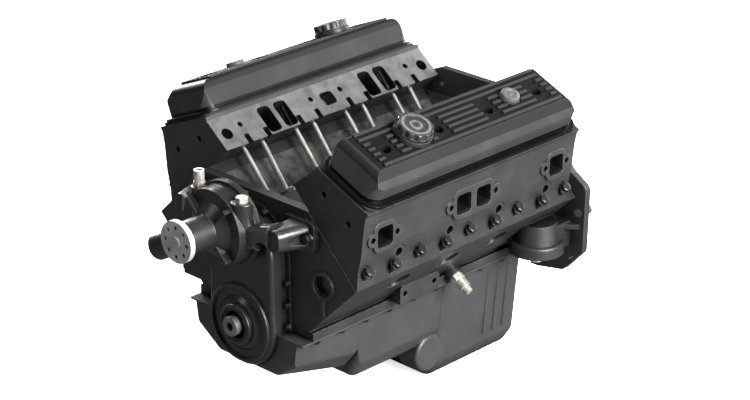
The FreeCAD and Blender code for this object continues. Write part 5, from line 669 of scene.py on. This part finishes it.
capLugs = {"height": -16.0, "reach": 17.2, "length": 3.2, "width": 7.2, "thick": 3.8, "edge": 0.6}
for side in ("left", "right"):
    spunPiece(side + "FillerCap", "oil_filler_cap_" + side, capShape, ["mouldedNylonCap", "scuffedNylonRing"],
              capLugs)
spunPiece("breatherPlugs", "breather_plugs", plugShape, ["greyBreatherPlastic"])
print("caps done")


# Camera, floor and light
cameraPlace = {"azimuth": 43.70, "elevation": 23.07, "roll": 0.35, "distance": 3.7353, "lens": 113.2,
               "sensor": 36, "reach": 100, "target": (0.0, -0.252, 0.150), "across": 0.00078, "up": -0.03379}
azimuth, elevation, roll = (math.radians(cameraPlace[k]) for k in ("azimuth", "elevation", "roll"))
back = Vector((math.sin(azimuth) * math.cos(elevation), -math.cos(azimuth) * math.cos(elevation),
               math.sin(elevation)))
level = Vector((math.cos(azimuth), math.sin(azimuth), 0))
upright = back.cross(level)
right = level * math.cos(roll) + upright * math.sin(roll)
up = upright * math.cos(roll) - level * math.sin(roll)
camera = bpy.data.objects.new("camera", bpy.data.cameras.new("camera"))
bpy.context.scene.collection.objects.link(camera)
camera.data.lens = cameraPlace["lens"]
camera.data.sensor_width = cameraPlace["sensor"]
camera.data.clip_end = cameraPlace["reach"]
spot = Vector(cameraPlace["target"]) + level * cameraPlace["across"] + upright * cameraPlace["up"]
spot += back * cameraPlace["distance"]
camera.matrix_world = Matrix.Translation(spot) @ Matrix((right, up, back)).transposed().to_4x4()
bpy.context.scene.camera = camera

# "seen" is the paper's tone to the camera, "casting" the tone it throws on the engine.
floorLook = {"reach": 40, "drop": 0.0005, "seen": "#f6f6f6", "casting": "#4e4e4e", "glow": 0.7, "rough": 0.9}
reach, ground = floorLook["reach"], cadBox[0].z - floorLook["drop"]
floorMesh = bpy.data.meshes.new("floor")
floorMesh.from_pydata([(-reach, -reach, ground), (reach, -reach, ground), (reach, reach, ground),
                       (-reach, reach, ground)], [], [(0, 1, 2, 3)])
floor = newPiece("floor", floorMesh)
floorMaterial, floorTree, floorOutput, _ = newMaterial("paleStudioFloor")  # matt paper, darker in what it lights
seen = addNode(floorTree, "ShaderNodeLightPath").outputs["Is Camera Ray"]
floorTone = mixColours(floorTree, seen, linear(floorLook["casting"]), linear(floorLook["seen"]))
glow = addNode(floorTree, "ShaderNodeMath", {1: floorLook["glow"]}, {0: seen}, operation="MULTIPLY").outputs[0]
floorShader = addNode(floorTree, "ShaderNodeBsdfPrincipled",
                      {"Roughness": floorLook["rough"], "Emission Color": linear("#ffffff")},
                      {"Base Color": floorTone, "Emission Strength": glow})
floorTree.links.new(floorShader.outputs[0], floorOutput.inputs["Surface"])
floorMesh.materials.append(floorMaterial)

lamps = {  # place, size and watts of each soft box
    "side": {"at": (2.7, -0.25, 1.15), "size": 1.7, "power": 310},
    "overhead": {"at": (0.7, -0.5, 2.6), "size": 1.4, "power": 30},
    "front": {"at": (-1.1, -2.4, 1.7), "size": 0.7, "power": 5},
    "left": {"at": (-2.6, 0.5, 1.2), "size": 1.6, "power": 180},
    "rear": {"at": (0.3, 2.8, 0.8), "size": 1.5, "power": 90},
}
lit = Vector((0, -0.3, 0.1))  # where every lamp aims
for name, lamp in lamps.items():
    data = bpy.data.lights.new(name, "AREA")
    data.size = lamp["size"]
    data.energy = lamp["power"]
    light = bpy.data.objects.new(name, data)
    bpy.context.scene.collection.objects.link(light)
    light.location = lamp["at"]
    light.rotation_euler = (lit - light.location).to_track_quat("-Z", "Y").to_euler()
studio = {"seen": 1.0, "soft": 0.14, "mirrored": 0.1}  # the backdrop as seen, as fill and in reflections
world = bpy.data.worlds.new("studio")
bpy.context.scene.world = world
world.use_nodes = True
sky = world.node_tree
background = sky.nodes["Background"]
background.inputs["Color"].default_value = linear("#ffffff")
kinds = addNode(sky, "ShaderNodeLightPath").outputs
filled = addNode(sky, "ShaderNodeMath", {1: studio["soft"] - studio["mirrored"], 2: studio["mirrored"]},
                 {0: kinds["Is Diffuse Ray"]}, operation="MULTIPLY_ADD").outputs[0]
strength = addNode(sky, "ShaderNodeMath", {1: studio["seen"] - studio["mirrored"]},
                   {0: kinds["Is Camera Ray"], 2: filled}, operation="MULTIPLY_ADD").outputs[0]
sky.links.new(strength, background.inputs["Strength"])
bpy.context.scene.view_settings.view_transform = "Standard"
print("stage set")
